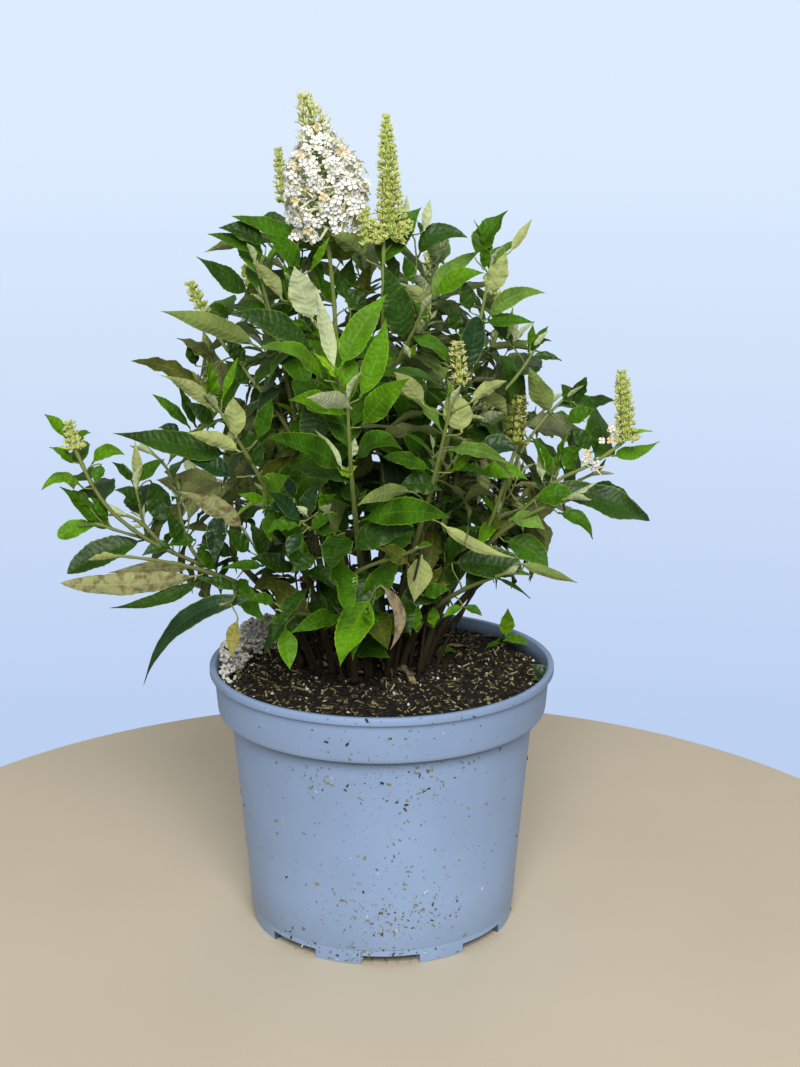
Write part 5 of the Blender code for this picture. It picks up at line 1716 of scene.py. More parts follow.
class MakeBlossom(bpy.types.Operator):
    """The open panicle: white four-lobed florets over green cymes, and the spikes of buds"""

    bl_idname = "bush.blossom"
    bl_label = "Blossom"

    def execute(self, context):
        plant = Plant.get()
        stalks = Heap()
        made = [plain_material(name, tone, roughness, deeper, grain)
                for name, roughness, tone, deeper, grain in BUD_FINISHES]
        shape, faces = bud_shape(4, 2.9, 0.55)
        open_buds, closed = Buds(17), Buds(19)
        flowers = self.panicle(plant, stalks, open_buds)
        self.spikes(plant, closed, stalks)
        pieces = [flowers, open_buds.build("panicle_buds", shape, faces, made),
                  closed.build("flower_buds", shape, faces, made),
                  stalks.build("flower_stalks", [made[3], made[0]])]
        for piece in pieces:
            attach(piece, BODY)
        return {"FINISHED"}

    def panicle(self, plant, stalks, buds):
        """Whorls of cymes: open florets below, white and green buds towards the tip."""
        rng = buds.rng
        points, _ = plant.plans["top_left"]["axes"][0]
        tip, way = (np.array(v) for v in along(points, path_length(points)))
        helper, other = square_to(way)
        places, ways, sizes = [], [], []
        core = []
        for whorl in range(PANICLE_LAYERS + 1):
            share = whorl / PANICLE_LAYERS
            reach = np.interp(share, *PANICLE_SHOWN)
            bow = 3.2 * math.sin(math.pi * share) - 4.0 * share ** 2
            heart = tip + (way * (PANICLE_SHOWN_LENGTH * share - 1) + np.array([bow, 0, 0])) * MM
            core.append(Vector(heart))
            open_share = min(1.0, max(0.0, (PANICLE_OPEN - share) / 0.3))
            cymes = 7 if share < 0.6 else 6
            for k in range(cymes):
                angle = 2 * math.pi * k / cymes + whorl * 0.8 + rng.uniform(-0.25, 0.25)
                out = helper * math.cos(angle) + other * math.sin(angle)
                arm = heart + (out + way * 0.3) * reach * 0.5 * MM
                add_tube(stalks, [Vector(heart), Vector((heart + arm) / 2 + way * 0.0008), Vector(arm)],
                         [0.7, 0.6, 0.5], 4)
                for _ in range(max(2, round(reach * 0.2))):
                    aim = out * 1.1 + way * (0.25 + 0.5 * share) + rng.normal(0, 0.42, 3)
                    aim = aim / np.linalg.norm(aim)
                    if rng.random() < open_share:
                        places.append(arm + aim * reach * rng.uniform(0.26, 0.5) * MM)
                        ways.append(aim + way * 0.25 + rng.normal(0, 0.6, 3))
                        sizes.append(rng.uniform(0.95, 1.3))
                    else:
                        buds.cluster(arm + aim * reach * 0.2 * MM, aim, way, reach * 0.6 + 2, 2, 1.15,
                                     (1, 1, 2))
                buds.cluster(arm, out, way, reach * 0.45 + 1, round(6 - 3 * open_share), 1.0,
                             (1, 5, 1) if open_share > 0.5 else (2, 5, 1))
        add_tube(stalks, core, [2.0 - 1.2 * i / len(core) for i in range(len(core))], 6)
        stray = len(places)
        for x, y, reach, amount in STRAY_FLORETS:
            for _ in range(amount):
                spot = sight(x + rng.normal(0, reach), y + rng.normal(0, reach), rng.uniform(-22, -8))
                places.append(np.array(spot))
                ways.append(np.array([0.1, -1.0, 0.3]) + rng.normal(0, 0.5, 3))
                sizes.append(rng.uniform(0.7, 1.0))
        shape, faces, kinds = floret_shape()
        slots = np.tile(np.array(kinds), (len(places), 1))
        faded = rng.random(len(places)) < np.where(np.arange(len(places)) < stray, 0.07, 0.3)
        slots[faded] = np.where(slots[faded] == 0, 3, slots[faded])
        heap = Heap()
        heap.add(turned_copies(shape, places, ways, np.array(sizes)[:, None], rng), faces, slots)
        # Petals are thin, matt and clean white; tubes cream green, throats dull yellow, old florets buff.
        white = tuple(bpy.context.scene.bush_colours.petal)
        petal = plain_material("petal_white", white, 0.55, "#FCFDFC", 1.1)
        tube = plain_material("floret_tube", "#F4F4D6", 0.6, "#E6E8AE", 3.3)
        throat = plain_material("floret_throat", "#CDC283", 0.7, "#A8A25C", 0.7)
        buff = plain_material("petal_faded", "#F6E4BE", 0.65, "#EBC88C", 2.0)
        return heap.build("blossom", [petal, tube, throat, buff], smooth=False)

    def spikes(self, plant, buds, stalks):
        """Flower spikes: whorls of clusters of buds round a bumpy green core."""
        rng = buds.rng
        for name, number, tip, foot, way, length, wide, narrow, tone in spike_forms(plant):
            if (foot - tip).length > 1.5 * MM:
                leave = (foot - tip + way * (foot - tip).length).normalized()
                add_tube(stalks, bezier(tip, leave, foot, way, 5), [1.3, 1.25, 1.2, 1.15, 1.1, 1.05], 6)
            line = [foot + way * (length * i / 16) * MM for i in range(17)]
            core = [0.3 + 0.36 * (narrow + (wide - narrow) * (1 - i / 16)) * (0.85 + 0.3 * (i % 2))
                    for i in range(17)]
            add_tube(stalks, line, core, 8, 0, ribbed=0.12, seed=number)
            start, lead = np.array(foot), np.array(way)
            helper, other = square_to(way)
            height, whorl = -1.0, 0
            while height < length:
                share = max(0.0, height / length)
                reach = narrow + (wide - narrow) * (1 - share) ** 0.9 + 0.2 * wide * math.exp(-share * 12)
                reach *= min(1.0, 0.35 + 4 * (1 - share))
                clusters = max(6, round(1.5 * reach))
                for k in range(clusters):
                    angle = 2 * math.pi * (k + 0.5 * (whorl % 2)) / clusters + rng.uniform(-0.2, 0.2)
                    out = helper * math.cos(angle) + other * math.sin(angle)
                    heart = start + lead * (height + rng.uniform(-0.8, 0.8)) * MM
                    buds.cluster(heart + out * reach * rng.uniform(0.35, 0.55) * MM, out, lead,
                                 reach * 0.6 + 0.8, 8, 0.95 - 0.2 * share, SPIKE_TONES[tone])
                height += 2.6 + 2.4 * (1 - share)
                whorl += 1


# Buds, by their number in SPIKE_TONES. They are soft and matt, each mottled with a deeper tone of its
# own so that a cluster reads as many small beads. Name, roughness, both tones, grain in millimetres.
BUD_FINISHES = (
    ("bud_green", 0.6, "#CCDA7C", "#A2B44A", 1.7), ("bud_white", 0.6, "#F3F5DE", "#DDE4A4", 1.7),
    ("bud_lime", 0.6, "#E2EA94", "#C2D25C", 1.7), ("panicle_stalk", 0.6, "#BCC866", "#8EA044", 2.0),
    ("bud_olive", 0.7, "#84863A", "#5A5626", 2.0), ("bud_cream", 0.6, "#F0ECBA", "#DCD884", 1.7))
# Florets open at the foot of the right hand spike: pixel, reach and how many.
STRAY_FLORETS = ((588, 458, 3.0, 5), (595, 468, 2.5, 4), (603, 440, 4.0, 4), (612, 430, 4.0, 3))
SPIKE_TONES = {"young": (0, 0, 2, 2, 5), "bright": (2, 2, 2, 5, 0), "cream": (5, 5, 0, 4),
               "olive": (4, 4, 4, 0)}


def spike_forms(plant):
    """Every spike: mass, number, end of its axis, foot, way, length, widths, tone; those seen go first."""
    for name, plan in plant.plans.items():
        for number in plant.axes[name]:
            points, kind = plan["axes"][number]
            tip, way = along(points, path_length(points))
            for row in SPIKES_SEEN.get((name, number), ()):
                x, y, tip_x, tip_y, depth, wide, narrow, tone = row
                foot, top = sight(x, y, depth), sight(tip_x, tip_y, depth + 2)
                pixel = (foot - Vector(CAMERA_PLACE)).length / FOCAL_PIXELS / MM
                yield (name, number, tip, foot, (top - foot).normalized(), (top - foot).length / MM,
                       wide * pixel / 2, narrow * pixel / 2, tone)
            if kind in ("spike", "tall_spike", "buds") and (name, number) not in SPIKES_SEEN:
                length, radius = SPIKE_SIZES[kind]
                yield name, number, tip, tip, way, length, radius * 1.1, radius * 0.5, "young"


# Capsules on one spent head, and how far its branches lean.
HEAD_CAPSULES = 150
HEAD_LEANS = (-0.35, 0.55, 0.1)


class MakeDriedHeads(bpy.types.Operator):
    """Spent flower heads: slim brown capsules on branching stalks"""

    bl_idname = "bush.dried_heads"
    bl_label = "Dried heads"

    def execute(self, context):
        plant = Plant.get()
        rng = np.random.default_rng(23)
        capsule, faces = bud_shape(4, 5.2, 0.62)
        heap = Heap()
        plan = plant.plans["dry_heads"]
        length, radius = SPIKE_SIZES["dry"]
        for number in plant.axes["dry_heads"]:
            points, _ = plan["axes"][number]
            tip, way = along(points, path_length(points))
            for lean in HEAD_LEANS:
                out = (way + way.orthogonal().normalized() * lean).normalized()
                start, lead = np.array(tip), np.array(out)
                add_tube(heap, [tip, tip + out * length * 0.5 * MM, tip + out * length * MM],
                         [1.0, 0.8, 0.4], 5, 1)
                helper, other = square_to(out)
                places, ways, sizes = [], [], []
                for _ in range(HEAD_CAPSULES):
                    share = rng.random() ** 0.8
                    angle = rng.random() * 2 * math.pi
                    side = helper * math.cos(angle) + other * math.sin(angle)
                    reach = radius * (1.15 - 0.8 * share) * rng.uniform(0.1, 1.0)
                    places.append(start + lead * (length * share - 4) * MM + side * reach * MM)
                    ways.append(side + lead * 0.9 + rng.normal(0, 0.3, 3))
                    sizes.append((1, 1, rng.uniform(0.7, 1.2)))
                heap.add(turned_copies(capsule, places, ways, sizes, rng), faces, 0)
        # Spent capsules are dry husks: dull brown, mottled at random with a darker brown. Their stalks are
        # darker.
        brown = plain_material("dried_capsule", "#6A6434", 0.85, "#3E3A1E", 2.9)
        stalk = plain_material("dried_stalk", "#4E4426", 0.85)
        piece = heap.build("dried_heads", [brown, stalk])
        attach(piece, BODY)
        return {"FINISHED"}


# A flat chip one millimetre long, for bits of compost.
CHIP = np.array([(x, y, z) for z in (-0.5, 0.5)
                 for x, y in ((-0.5, -0.3), (0.42, -0.5), (0.5, 0.36), (-0.36, 0.5))])
CHIP_FACES = [(3, 2, 1, 0), (4, 5, 6, 7)] + [(i, (i + 1) % 4, (i + 1) % 4 + 4, i + 4) for i in range(4)]
SOIL_RINGS = 42
SOIL_DEPTH = 12.0
# The compost stands higher at the back right by this much, and clear of the pot's wall by this much.
SOIL_LEAN = 8.0
SOIL_CLEAR = 0.4
# Sizes and strengths of its lumps, crumbs and grains.
SOIL_LUMPS = ((30.0, 5.0), (7.0, 3.4), (3.0, 1.6))
# Loose bits on the soil: how many, range of length and width, thickness and slot.
SOIL_BITS = ((3900, (1.0, 5.0), (0.8, 3.0), 1.2, 0), (900, (1.5, 7.0), (0.6, 2.2), 0.8, 1),
             (380, (2.0, 6.5), (0.5, 1.3), 0.5, 2), (420, (1.4, 6.0), (0.8, 2.4), 0.6, 3),
             (110, (6.0, 14.0), (0.5, 1.2), 0.6, 2), (520, (0.6, 1.6), (0.5, 1.2), 0.6, 2),
             (480, (0.8, 3.6), (0.5, 1.8), 0.6, 3), (110, (0.8, 2.4), (0.8, 2.2), 1.3, 4))
# Crust up the pot's wall: turn and half its spread in degrees, rise in millimetres, and how many lumps.
CRUST = ((148, 19, 26.0, 620), (177, 8, 25.0, 160), (215, 9, 3.0, 30))

# Pot, in millimetres: the source's values.
POT_HEIGHT = 175.0
RIM_RADIUS = 112.5
LIP_HEIGHT = 5.0
BAND_TOP_RADIUS = 109.5
BAND_FOOT_RADIUS = 107.6
BAND_FOOT_Z = 142.0
BAND_CURVE = 5.0
NECK_RADIUS = 99.0
SEAM_Z = 11.0
BASE_RADIUS = 87.0
WALL = 1.6
FLOOR_RAISE = 7.0
CENTRE_DISC_RADIUS = 38.0
CENTRE_SLOPE = 3.0
FOOT_RING_WIDTH = 7.5
FOOT_NOTCHES = 8
NOTCH_HEIGHT = 6.4
NOTCH_ANGLE = 24.0
NOTCH_FROM_FRONT = 4.0
POT_STEPS = 144


def wall_radius(height):
    """Outer radius of the tapered wall below the band."""
    return BASE_RADIUS + (NECK_RADIUS - BASE_RADIUS) * height / BAND_FOOT_Z


def pot_profile():
    """Radius and height of the pot's skin, from the middle of the inner floor to the underside."""
    floor = FLOOR_RAISE + WALL
    inner = [
        (CENTRE_DISC_RADIUS - WALL / 2, WALL), (CENTRE_DISC_RADIUS + CENTRE_SLOPE - WALL / 2, floor),
        (wall_radius(floor) - WALL - 3.0, floor), (wall_radius(floor + 3.0) - WALL, floor + 3.0),
        (wall_radius(70.0) - WALL, 70.0), (wall_radius(BAND_FOOT_Z + 2.0) - WALL, BAND_FOOT_Z + 2.0),
        (BAND_FOOT_RADIUS - WALL, BAND_FOOT_Z + BAND_CURVE + 1.5),
        (BAND_TOP_RADIUS - WALL, POT_HEIGHT - LIP_HEIGHT / 2),
        (BAND_TOP_RADIUS - WALL + 0.8, POT_HEIGHT - 0.4), (BAND_TOP_RADIUS, POT_HEIGHT),
    ]
    outer = [
        (RIM_RADIUS - 0.8, POT_HEIGHT), (RIM_RADIUS - 0.2, POT_HEIGHT - 0.3), (RIM_RADIUS, POT_HEIGHT - 0.9),
        (RIM_RADIUS, POT_HEIGHT - LIP_HEIGHT + 0.6), (RIM_RADIUS - 0.2, POT_HEIGHT - LIP_HEIGHT + 0.2),
        (RIM_RADIUS - 0.7, POT_HEIGHT - LIP_HEIGHT), (BAND_TOP_RADIUS + 0.4, POT_HEIGHT - LIP_HEIGHT),
        (BAND_TOP_RADIUS, POT_HEIGHT - LIP_HEIGHT - 0.4), (BAND_FOOT_RADIUS, BAND_FOOT_Z + BAND_CURVE),
        (BAND_FOOT_RADIUS - 0.6, BAND_FOOT_Z + 3.0), (BAND_FOOT_RADIUS - 1.8, BAND_FOOT_Z + 1.5),
        (wall_radius(BAND_FOOT_Z) + 5.0, BAND_FOOT_Z + 0.4), (wall_radius(BAND_FOOT_Z) + 3.4, BAND_FOOT_Z),
        (wall_radius(BAND_FOOT_Z) + 0.6, BAND_FOOT_Z - 0.3), (wall_radius(BAND_FOOT_Z), BAND_FOOT_Z - 1.0),
        (wall_radius(110.0), 110.0), (wall_radius(75.0), 75.0), (wall_radius(40.0), 40.0),
        (wall_radius(SEAM_Z) + 0.4, SEAM_Z + 0.2), (wall_radius(SEAM_Z) + 0.1, SEAM_Z - 0.3),
        (wall_radius(SEAM_Z) - 0.3, SEAM_Z - 0.7), (BASE_RADIUS, 1.0), (BASE_RADIUS - 0.2, 0.3),
        (BASE_RADIUS - 0.8, 0.0), (BASE_RADIUS - FOOT_RING_WIDTH, 0.0),
        (BASE_RADIUS - FOOT_RING_WIDTH - 1.0, FLOOR_RAISE), (CENTRE_DISC_RADIUS + CENTRE_SLOPE, FLOOR_RAISE),
        (CENTRE_DISC_RADIUS, 0.0),
    ]
    return inner + outer


def walk_rings(profile, steps):
    """A turned shell: a disc, then its edge extruded and scaled from ring to ring, and closed."""
    clear_selection()
    radius, height = profile[0]
    bpy.ops.mesh.primitive_circle_add(vertices=steps, radius=radius * MM, fill_type="NGON",
                                      location=(0, 0, height * MM))
    shell = bpy.context.object
    bpy.ops.object.transform_apply(location=True, rotation=True, scale=True)
    bpy.ops.object.mode_set(mode="EDIT")
    bpy.ops.mesh.select_mode(type="EDGE")
    bpy.ops.mesh.select_all(action="SELECT")
    for (old, low), (new, high) in zip(profile, profile[1:]):
        bpy.ops.mesh.extrude_edges_move(TRANSFORM_OT_translate={"value": (0, 0, (high - low) * MM)})
        ratio = new / old
        bpy.ops.transform.resize(value=(ratio, ratio, 1), center_override=(0, 0, 0))
    bpy.ops.mesh.edge_face_add()
    bpy.ops.mesh.select_all(action="SELECT")
    bpy.ops.mesh.normals_make_consistent(inside=False)
    bpy.ops.mesh.select_all(action="DESELECT")
    bpy.ops.object.mode_set(mode="OBJECT")
    return shell


def cut_notches(pot):
    """Drainage notches through the foot ring."""
    width = 2 * BASE_RADIUS * math.tan(math.radians(NOTCH_ANGLE / 2))
    for number in range(FOOT_NOTCHES):
        turn = math.radians(NOTCH_FROM_FRONT - 90.0 + 360.0 * number / FOOT_NOTCHES)
        clear_selection()
        bpy.ops.mesh.primitive_cube_add(
            size=1.0, scale=((2 * FOOT_RING_WIDTH + 4) * MM, width * MM, 2 * NOTCH_HEIGHT * MM),
            rotation=(0, 0, turn),
            location=(BASE_RADIUS * MM * math.cos(turn), BASE_RADIUS * MM * math.sin(turn), 0))
        cutter = bpy.context.object
        cut = pot.modifiers.new("notch", "BOOLEAN")
        cut.operation, cut.object, cut.solver = "DIFFERENCE", cutter, "EXACT"
        bpy.context.view_layer.objects.active = pot
        bpy.ops.object.modifier_apply(modifier=cut.name)
        bpy.data.objects.remove(cutter, do_unlink=True)


def pot_material(colour):
    """Injection moulded polypropylene: satin, slightly cloudy, with fine scuffs and soil dust.

    The grain of the mould softens the highlights, dust gathers towards the foot, and the inner
    wall just above the compost is darkened with painted shade.
    """
    material, tree, shader = new_material("moulded_polypropylene", 0.5, IOR=1.49)
    add = partial(add_node, tree)
    place = add("TexCoord", out="Object")
    height = add("SeparateXYZ", [place], out=2)
    cloud = add("TexNoise", {"Vector": place, "Scale": per(110.0), "Detail": 4.0})
    # The mould's grain is finer than this and is drawn at 1.1 mm so that it shows.
    grain = add("TexNoise", {"Vector": place, "Scale": per(1.1), "Detail": 2.0})
    stretched = add("Mapping", {"Vector": place, "Scale": (per(3.8), per(3.8), per(25.0)),
                                "Rotation": (0.15, 0.1, 0.0)})
    scuff = add("TexNoise", {"Vector": stretched, "Scale": 1.0, "Detail": 6.0})
    spots = add("TexNoise", {"Vector": place, "Scale": per(5.3), "Detail": 3.0})
    dust = add("Math", [spots, add("MapRange", [height, 0.09, 0.0, 0.0, 0.05])], operation="ADD")
    facing = add("VectorMath", [add("NewGeometry", out="Normal"), place], out="Value",
                 operation="DOT_PRODUCT")
    # Painted shade: the inner wall from the compost up to 6 mm above it is mixed towards dark green black.
    painted_inner_wall_shade = add("Math", [add("MapRange", [facing, 0.0, -0.02]), add("MapRange", [height, 0.172, 0.166])],
              operation="MULTIPLY")
    base = toned(colour, 0.9)
    for share, over in (
            (add("MapRange", [cloud, 0.35, 0.65]), toned(colour, 1.06)),
            (add("MapRange", [scuff, 0.72, 0.8, 0.0, 0.6]), linear("#D5DCE8")),
            (add("MapRange", [dust, 0.71, 0.76, 0.0, 0.75]), linear("#6F6F55")),
            # painted shade on the inner wall above the compost
            (add("Math", [painted_inner_wall_shade, 0.8], operation="MULTIPLY"), linear("#1C2622"))):
        base = add("Mix", {0: share, 6: base, 7: over}, out=2, data_type="RGBA")
    bump = add("Bump", {"Strength": 0.25, "Distance": 0.0002, "Height": grain})
    fill_inputs(tree, shader, {"Base Color": base, "Normal": bump,
                               "Roughness": add("MapRange", [cloud, 0.3, 0.7, 0.42, 0.56])})
    return material


# Soil that sticks to the pot: angle from the front and height, their spreads, and how many bits.
SPECKS = ((6, 34, 12, 12, 230), (10, 118, 9, 10, 90), (0, 62, 24, 34, 170), (-24, 128, 9, 6, 26),
          (-14, 8, 18, 4, 80), (12, 134, 17, 4, 60), (4, 158, 17, 8, 44), (2, 160, 1, 3, 6),
          (180, 60, 90, 40, 90), (10, 173, 30, 2, 14))
# Shares of dried compost, chaff, wet compost and lime among them.
SPECK_SHARES = (0.3, 0.53, 0.11, 0.06)


def pot_surface(height):
    """Outer radius of the pot at a height, in millimetres."""
    if height > POT_HEIGHT - LIP_HEIGHT:
        return RIM_RADIUS
    if height > BAND_FOOT_Z + BAND_CURVE:
        share = (height - BAND_FOOT_Z - BAND_CURVE) / (POT_HEIGHT - LIP_HEIGHT - BAND_FOOT_Z - BAND_CURVE)
        return BAND_FOOT_RADIUS + (BAND_TOP_RADIUS - BAND_FOOT_RADIUS) * share
    if height > BAND_FOOT_Z - 2:
        return 0.0
    return wall_radius(height)


class MakePotSpecks(bpy.types.Operator):
    """Bits of compost and pale scratches on the outside of the pot"""

    bl_idname = "bush.pot_specks"
    bl_label = "Pot specks"

    def execute(self, context):
        rng = np.random.default_rng(29)
        heap = Heap()
        places, ways, sizes, slots = [], [], [], []
        for turn, height, turn_spread, height_spread, amount in SPECKS:
            for _ in range(amount):
                angle = math.radians(turn - 90 + rng.normal(0, turn_spread))
                z = float(np.clip(height + rng.normal(0, height_spread), 2.0, POT_HEIGHT - 1))
                radius = pot_surface(z)
                if radius:
                    way = np.array([math.cos(angle), math.sin(angle), 0.0])
                    places.append((way * (radius + 0.15) + np.array([0, 0, z])) * MM)
                    ways.append(way + rng.normal(0, 0.06, 3))
                    long = 0.55 + 2.6 * rng.random() ** 3.2
                    sizes.append((long, long * rng.uniform(0.15, 0.6), 0.5))
                    slots.append(int(rng.choice(4, p=SPECK_SHARES)))
        heap.add(turned_copies(CHIP, places, ways, sizes, rng), CHIP_FACES,
                 np.repeat(np.array(slots)[:, None], len(CHIP_FACES), 1))
        # Splashed compost dries pale and stays dark where it is thick; chaff is olive, lime nearly white.
        materials = [
            plain_material("dried_compost", "#4E4A2C", 0.95, "#37301E", 2.0),
            plain_material("olive_chaff", "#7C7A3E", 0.95, "#94905A", 2.0),
            plain_material("wet_compost", "#241E14", 0.9, "#3A3020", 2.0),
            plain_material("lime_scale", "#C9D0D8", 0.9, "#E4E6E6", 2.0),
        ]
        piece = heap.build("pot_specks", materials, smooth=False)
        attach(piece, BODY)
        return {"FINISHED"}


class MakePot(bpy.types.Operator):
    """Nursery pot: thin tapered wall, deep band under a rolled lip, notched foot ring"""

    bl_idname = "bush.pot"
    bl_label = "Pot"

    def execute(self, context):
        pot = walk_rings(pot_profile(), POT_STEPS)
        pot.name = "nursery_pot"
        cut_notches(pot)
        clear_selection()
        pot.select_set(True)
        bpy.context.view_layer.objects.active = pot
        bpy.ops.object.shade_smooth_by_angle(angle=math.radians(32))
        pot.data.materials.clear()
        pot.data.materials.append(pot_material(tuple(context.scene.bush_colours.pot)))
        if len(pot.data.polygons) < POT_STEPS:
            raise RuntimeError("the pot's rings were lost")
        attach(pot, BODY)
        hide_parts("pot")
        return {"FINISHED"}


def soil_profile(inside):
    """Radius and height of the bed's skin, from its middle over the edge to the underside."""
    rows = []
    for ring in range(1, SOIL_RINGS + 1):
        radius = inside * ring / SOIL_RINGS
        fall = max(0.0, radius - SOIL_FLAT_RADIUS) / (BAND_TOP_RADIUS - SOIL_FLAT_RADIUS)
        rows.append((radius, SOIL_TOP - 1.0 - (SOIL_TOP - SOIL_EDGE) * fall ** 1.4))
    return rows + [(inside * 0.985, SOIL_EDGE - SOIL_DEPTH)]


def soil_at(bed, x, y):
    """Height of the bed's surface in millimetres."""
    hit, place, _, _ = bed.ray_cast(Vector((x * MM, y * MM, 1.0)), DOWN)
    return place.z / MM if hit else SOIL_EDGE


class MakeSoil(bpy.types.Operator):
    """Peat compost: an uneven dark bed under loose chips, fibres, perlite and crust"""

    bl_idname = "bush.soil"
    bl_label = "Soil"

    def execute(self, context):
        inside = BAND_TOP_RADIUS - WALL - SOIL_CLEAR
        bed = walk_rings(soil_profile(inside), POT_STEPS)
        bed.name = "compost_bed"
        clear_selection()
        bed.select_set(True)
        bpy.context.view_layer.objects.active = bed
        for size, strength in SOIL_LUMPS:
            lumps = bpy.data.textures.new("soil_lumps", "CLOUDS")
            lumps.noise_scale = size * MM
            rough = bed.modifiers.new("lumps", "DISPLACE")
            rough.texture, rough.direction, rough.strength = lumps, "Z", strength * MM
            bpy.ops.object.modifier_apply(modifier=rough.name)
        for vertex in bed.data.vertices:
            away = (0.6 * vertex.co.x + 0.8 * vertex.co.y) / MM / inside
            vertex.co.z += SOIL_LEAN * MM * min(1.0, max(0.0, away)) ** 2
        bpy.ops.object.shade_smooth()
        bed.data.materials.clear()
        # Moist peat is nearly black and quite matt, with crumbs that catch a little light.
        dark = tuple(context.scene.bush_colours.compost)
        bed.data.materials.append(plain_material("peat_compost", dark, 0.95, "#1C1711", 3.8, 0.002))
        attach(bed, BODY)
        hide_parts("soil")
        self.litter(bed, inside)
        self.crust(bed, inside)
        return {"FINISHED"}

    def litter(self, bed, inside):
        """Loose bits of every kind in SOIL_BITS."""
        rng = np.random.default_rng(41)
        heap = Heap()
        for amount, long, wide, thick, slot in SOIL_BITS:
            radius = inside * np.sqrt(rng.random(amount)) * 0.985
            angle = rng.random(amount) * 2 * math.pi
            x, y = radius * np.cos(angle), radius * np.sin(angle)
            z = np.array([soil_at(bed, a, b) for a, b in zip(x, y)]) + rng.uniform(-0.2, 1.2, amount)
            sizes = np.stack([rng.uniform(*long, amount), rng.uniform(*wide, amount),
                              thick * rng.uniform(0.6, 1.4, amount)], 1)
            ways = np.stack([rng.normal(0, 0.45, amount), rng.normal(0, 0.45, amount), np.ones(amount)], 1)
            heap.add(turned_copies(CHIP, np.stack([x, y, z], 1) * MM, ways, sizes, rng), CHIP_FACES, slot)
        # Black crumbs and brown bark are dull; coir, chaff and perlite are the light specks among them.
        materials = [
            plain_material("peat_crumb", "#12100B", 0.95, "#221C14", 3.3),
            plain_material("brown_bark_chip", "#30261A", 0.9, "#54452E", 3.3),
            plain_material("coir_fibre", "#C0B48A", 0.9, "#847650", 6.7),
            plain_material("olive_chip", "#6C6C3A", 0.9, "#A29C66", 6.7),
            plain_material("perlite", "#DCD9CF", 0.8, "#F2F0E8", 1.25),
        ]
        piece = heap.build("compost_litter", materials, smooth=False)
        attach(piece, BODY)

    def crust(self, bed, inside):
        """Grey white crust of lime and algae, in low mounds against the wall."""
        rng = np.random.default_rng(43)
        lump, faces = bud_shape(5, 1.0, 0.5)
        places, sizes = [], []
        for turn, spread, rise, amount in CRUST:
            for _ in range(amount):
                off = rng.uniform(-1, 1)
                angle = math.radians(turn + spread * off)
                top = rise * (1 - off ** 4) * rng.random() ** 0.6
                reach = inside - 2.0 - abs(rng.normal(0, 5.5)) * (1 - 0.6 * top / rise)
                spot = np.array([math.cos(angle), math.sin(angle)]) * reach
                places.append((spot[0] * MM, spot[1] * MM, (soil_at(bed, *spot) + top) * MM))
                sizes.append(rng.uniform(1.6, 4.4, 3))
        heap = Heap()
        heap.add(turned_copies(lump - (0, 0, 0.5), places, rng.normal(0, 1, (len(places), 3)), sizes, rng),
                 faces, rng.choice(2, (len(places), 1), p=(0.95, 0.05)))
        # Lime dries to a chalky, rough white, with a few grey lumps where algae grow on it.
        materials = [plain_material("lime_crust", "#F8F7F1", 0.95, "#DAD8CD", 2.4, 0.0005),
                     plain_material("dark_crust", "#7C7A6A", 0.95, "#54523F", 2.4, 0.0005)]
        piece = heap.build("soil_crust", materials)
        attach(piece, BODY)


FLOOR_RADIUS = 400.0
FLOOR_THICK = 12.0
BACKDROP_RADIUS = 5000.0


def board_material(colour):
    """Matt board, faintly clouded and with hardly any shine, so it shows only the plant's shadow."""
    material, tree, shader = new_material("matt_studio_board", 0.85, Specular_IOR_Level=0.2)
    add = partial(add_node, tree)
    cloud = add("TexNoise", {"Vector": add("TexCoord", out="Object"), "Scale": per(170.0), "Detail": 3.0})
    shares = {0: add("MapRange", [cloud, 0.3, 0.7]), 6: colour, 7: toned(colour, 0.95)}
    fill_inputs(tree, shader, {"Base Color": add("Mix", shares, out=2, data_type="RGBA")})
    return material


def paper_material(colour):
    """Backdrop paper that is lit from within: even and pale, a little bluer towards the floor."""
    material, tree, shader = new_material("lit_backdrop_paper", 1.0, Specular_IOR_Level=0.0)
    add = partial(add_node, tree)
    height = add("SeparateXYZ", [add("TexCoord", out="Object")], out=2)
    shares = {0: add("MapRange", [height, -1.6, 0.3]), 6: linear("#BCD0F2"), 7: toned(colour, 1.02)}
    fill_inputs(tree, shader, {"Base Color": (0.0, 0.0, 0.0), "Emission Strength": 1.0,
                               "Emission Color": add("Mix", shares, out=2, data_type="RGBA")})
    material.cycles.emission_sampling = "NONE"
    return material


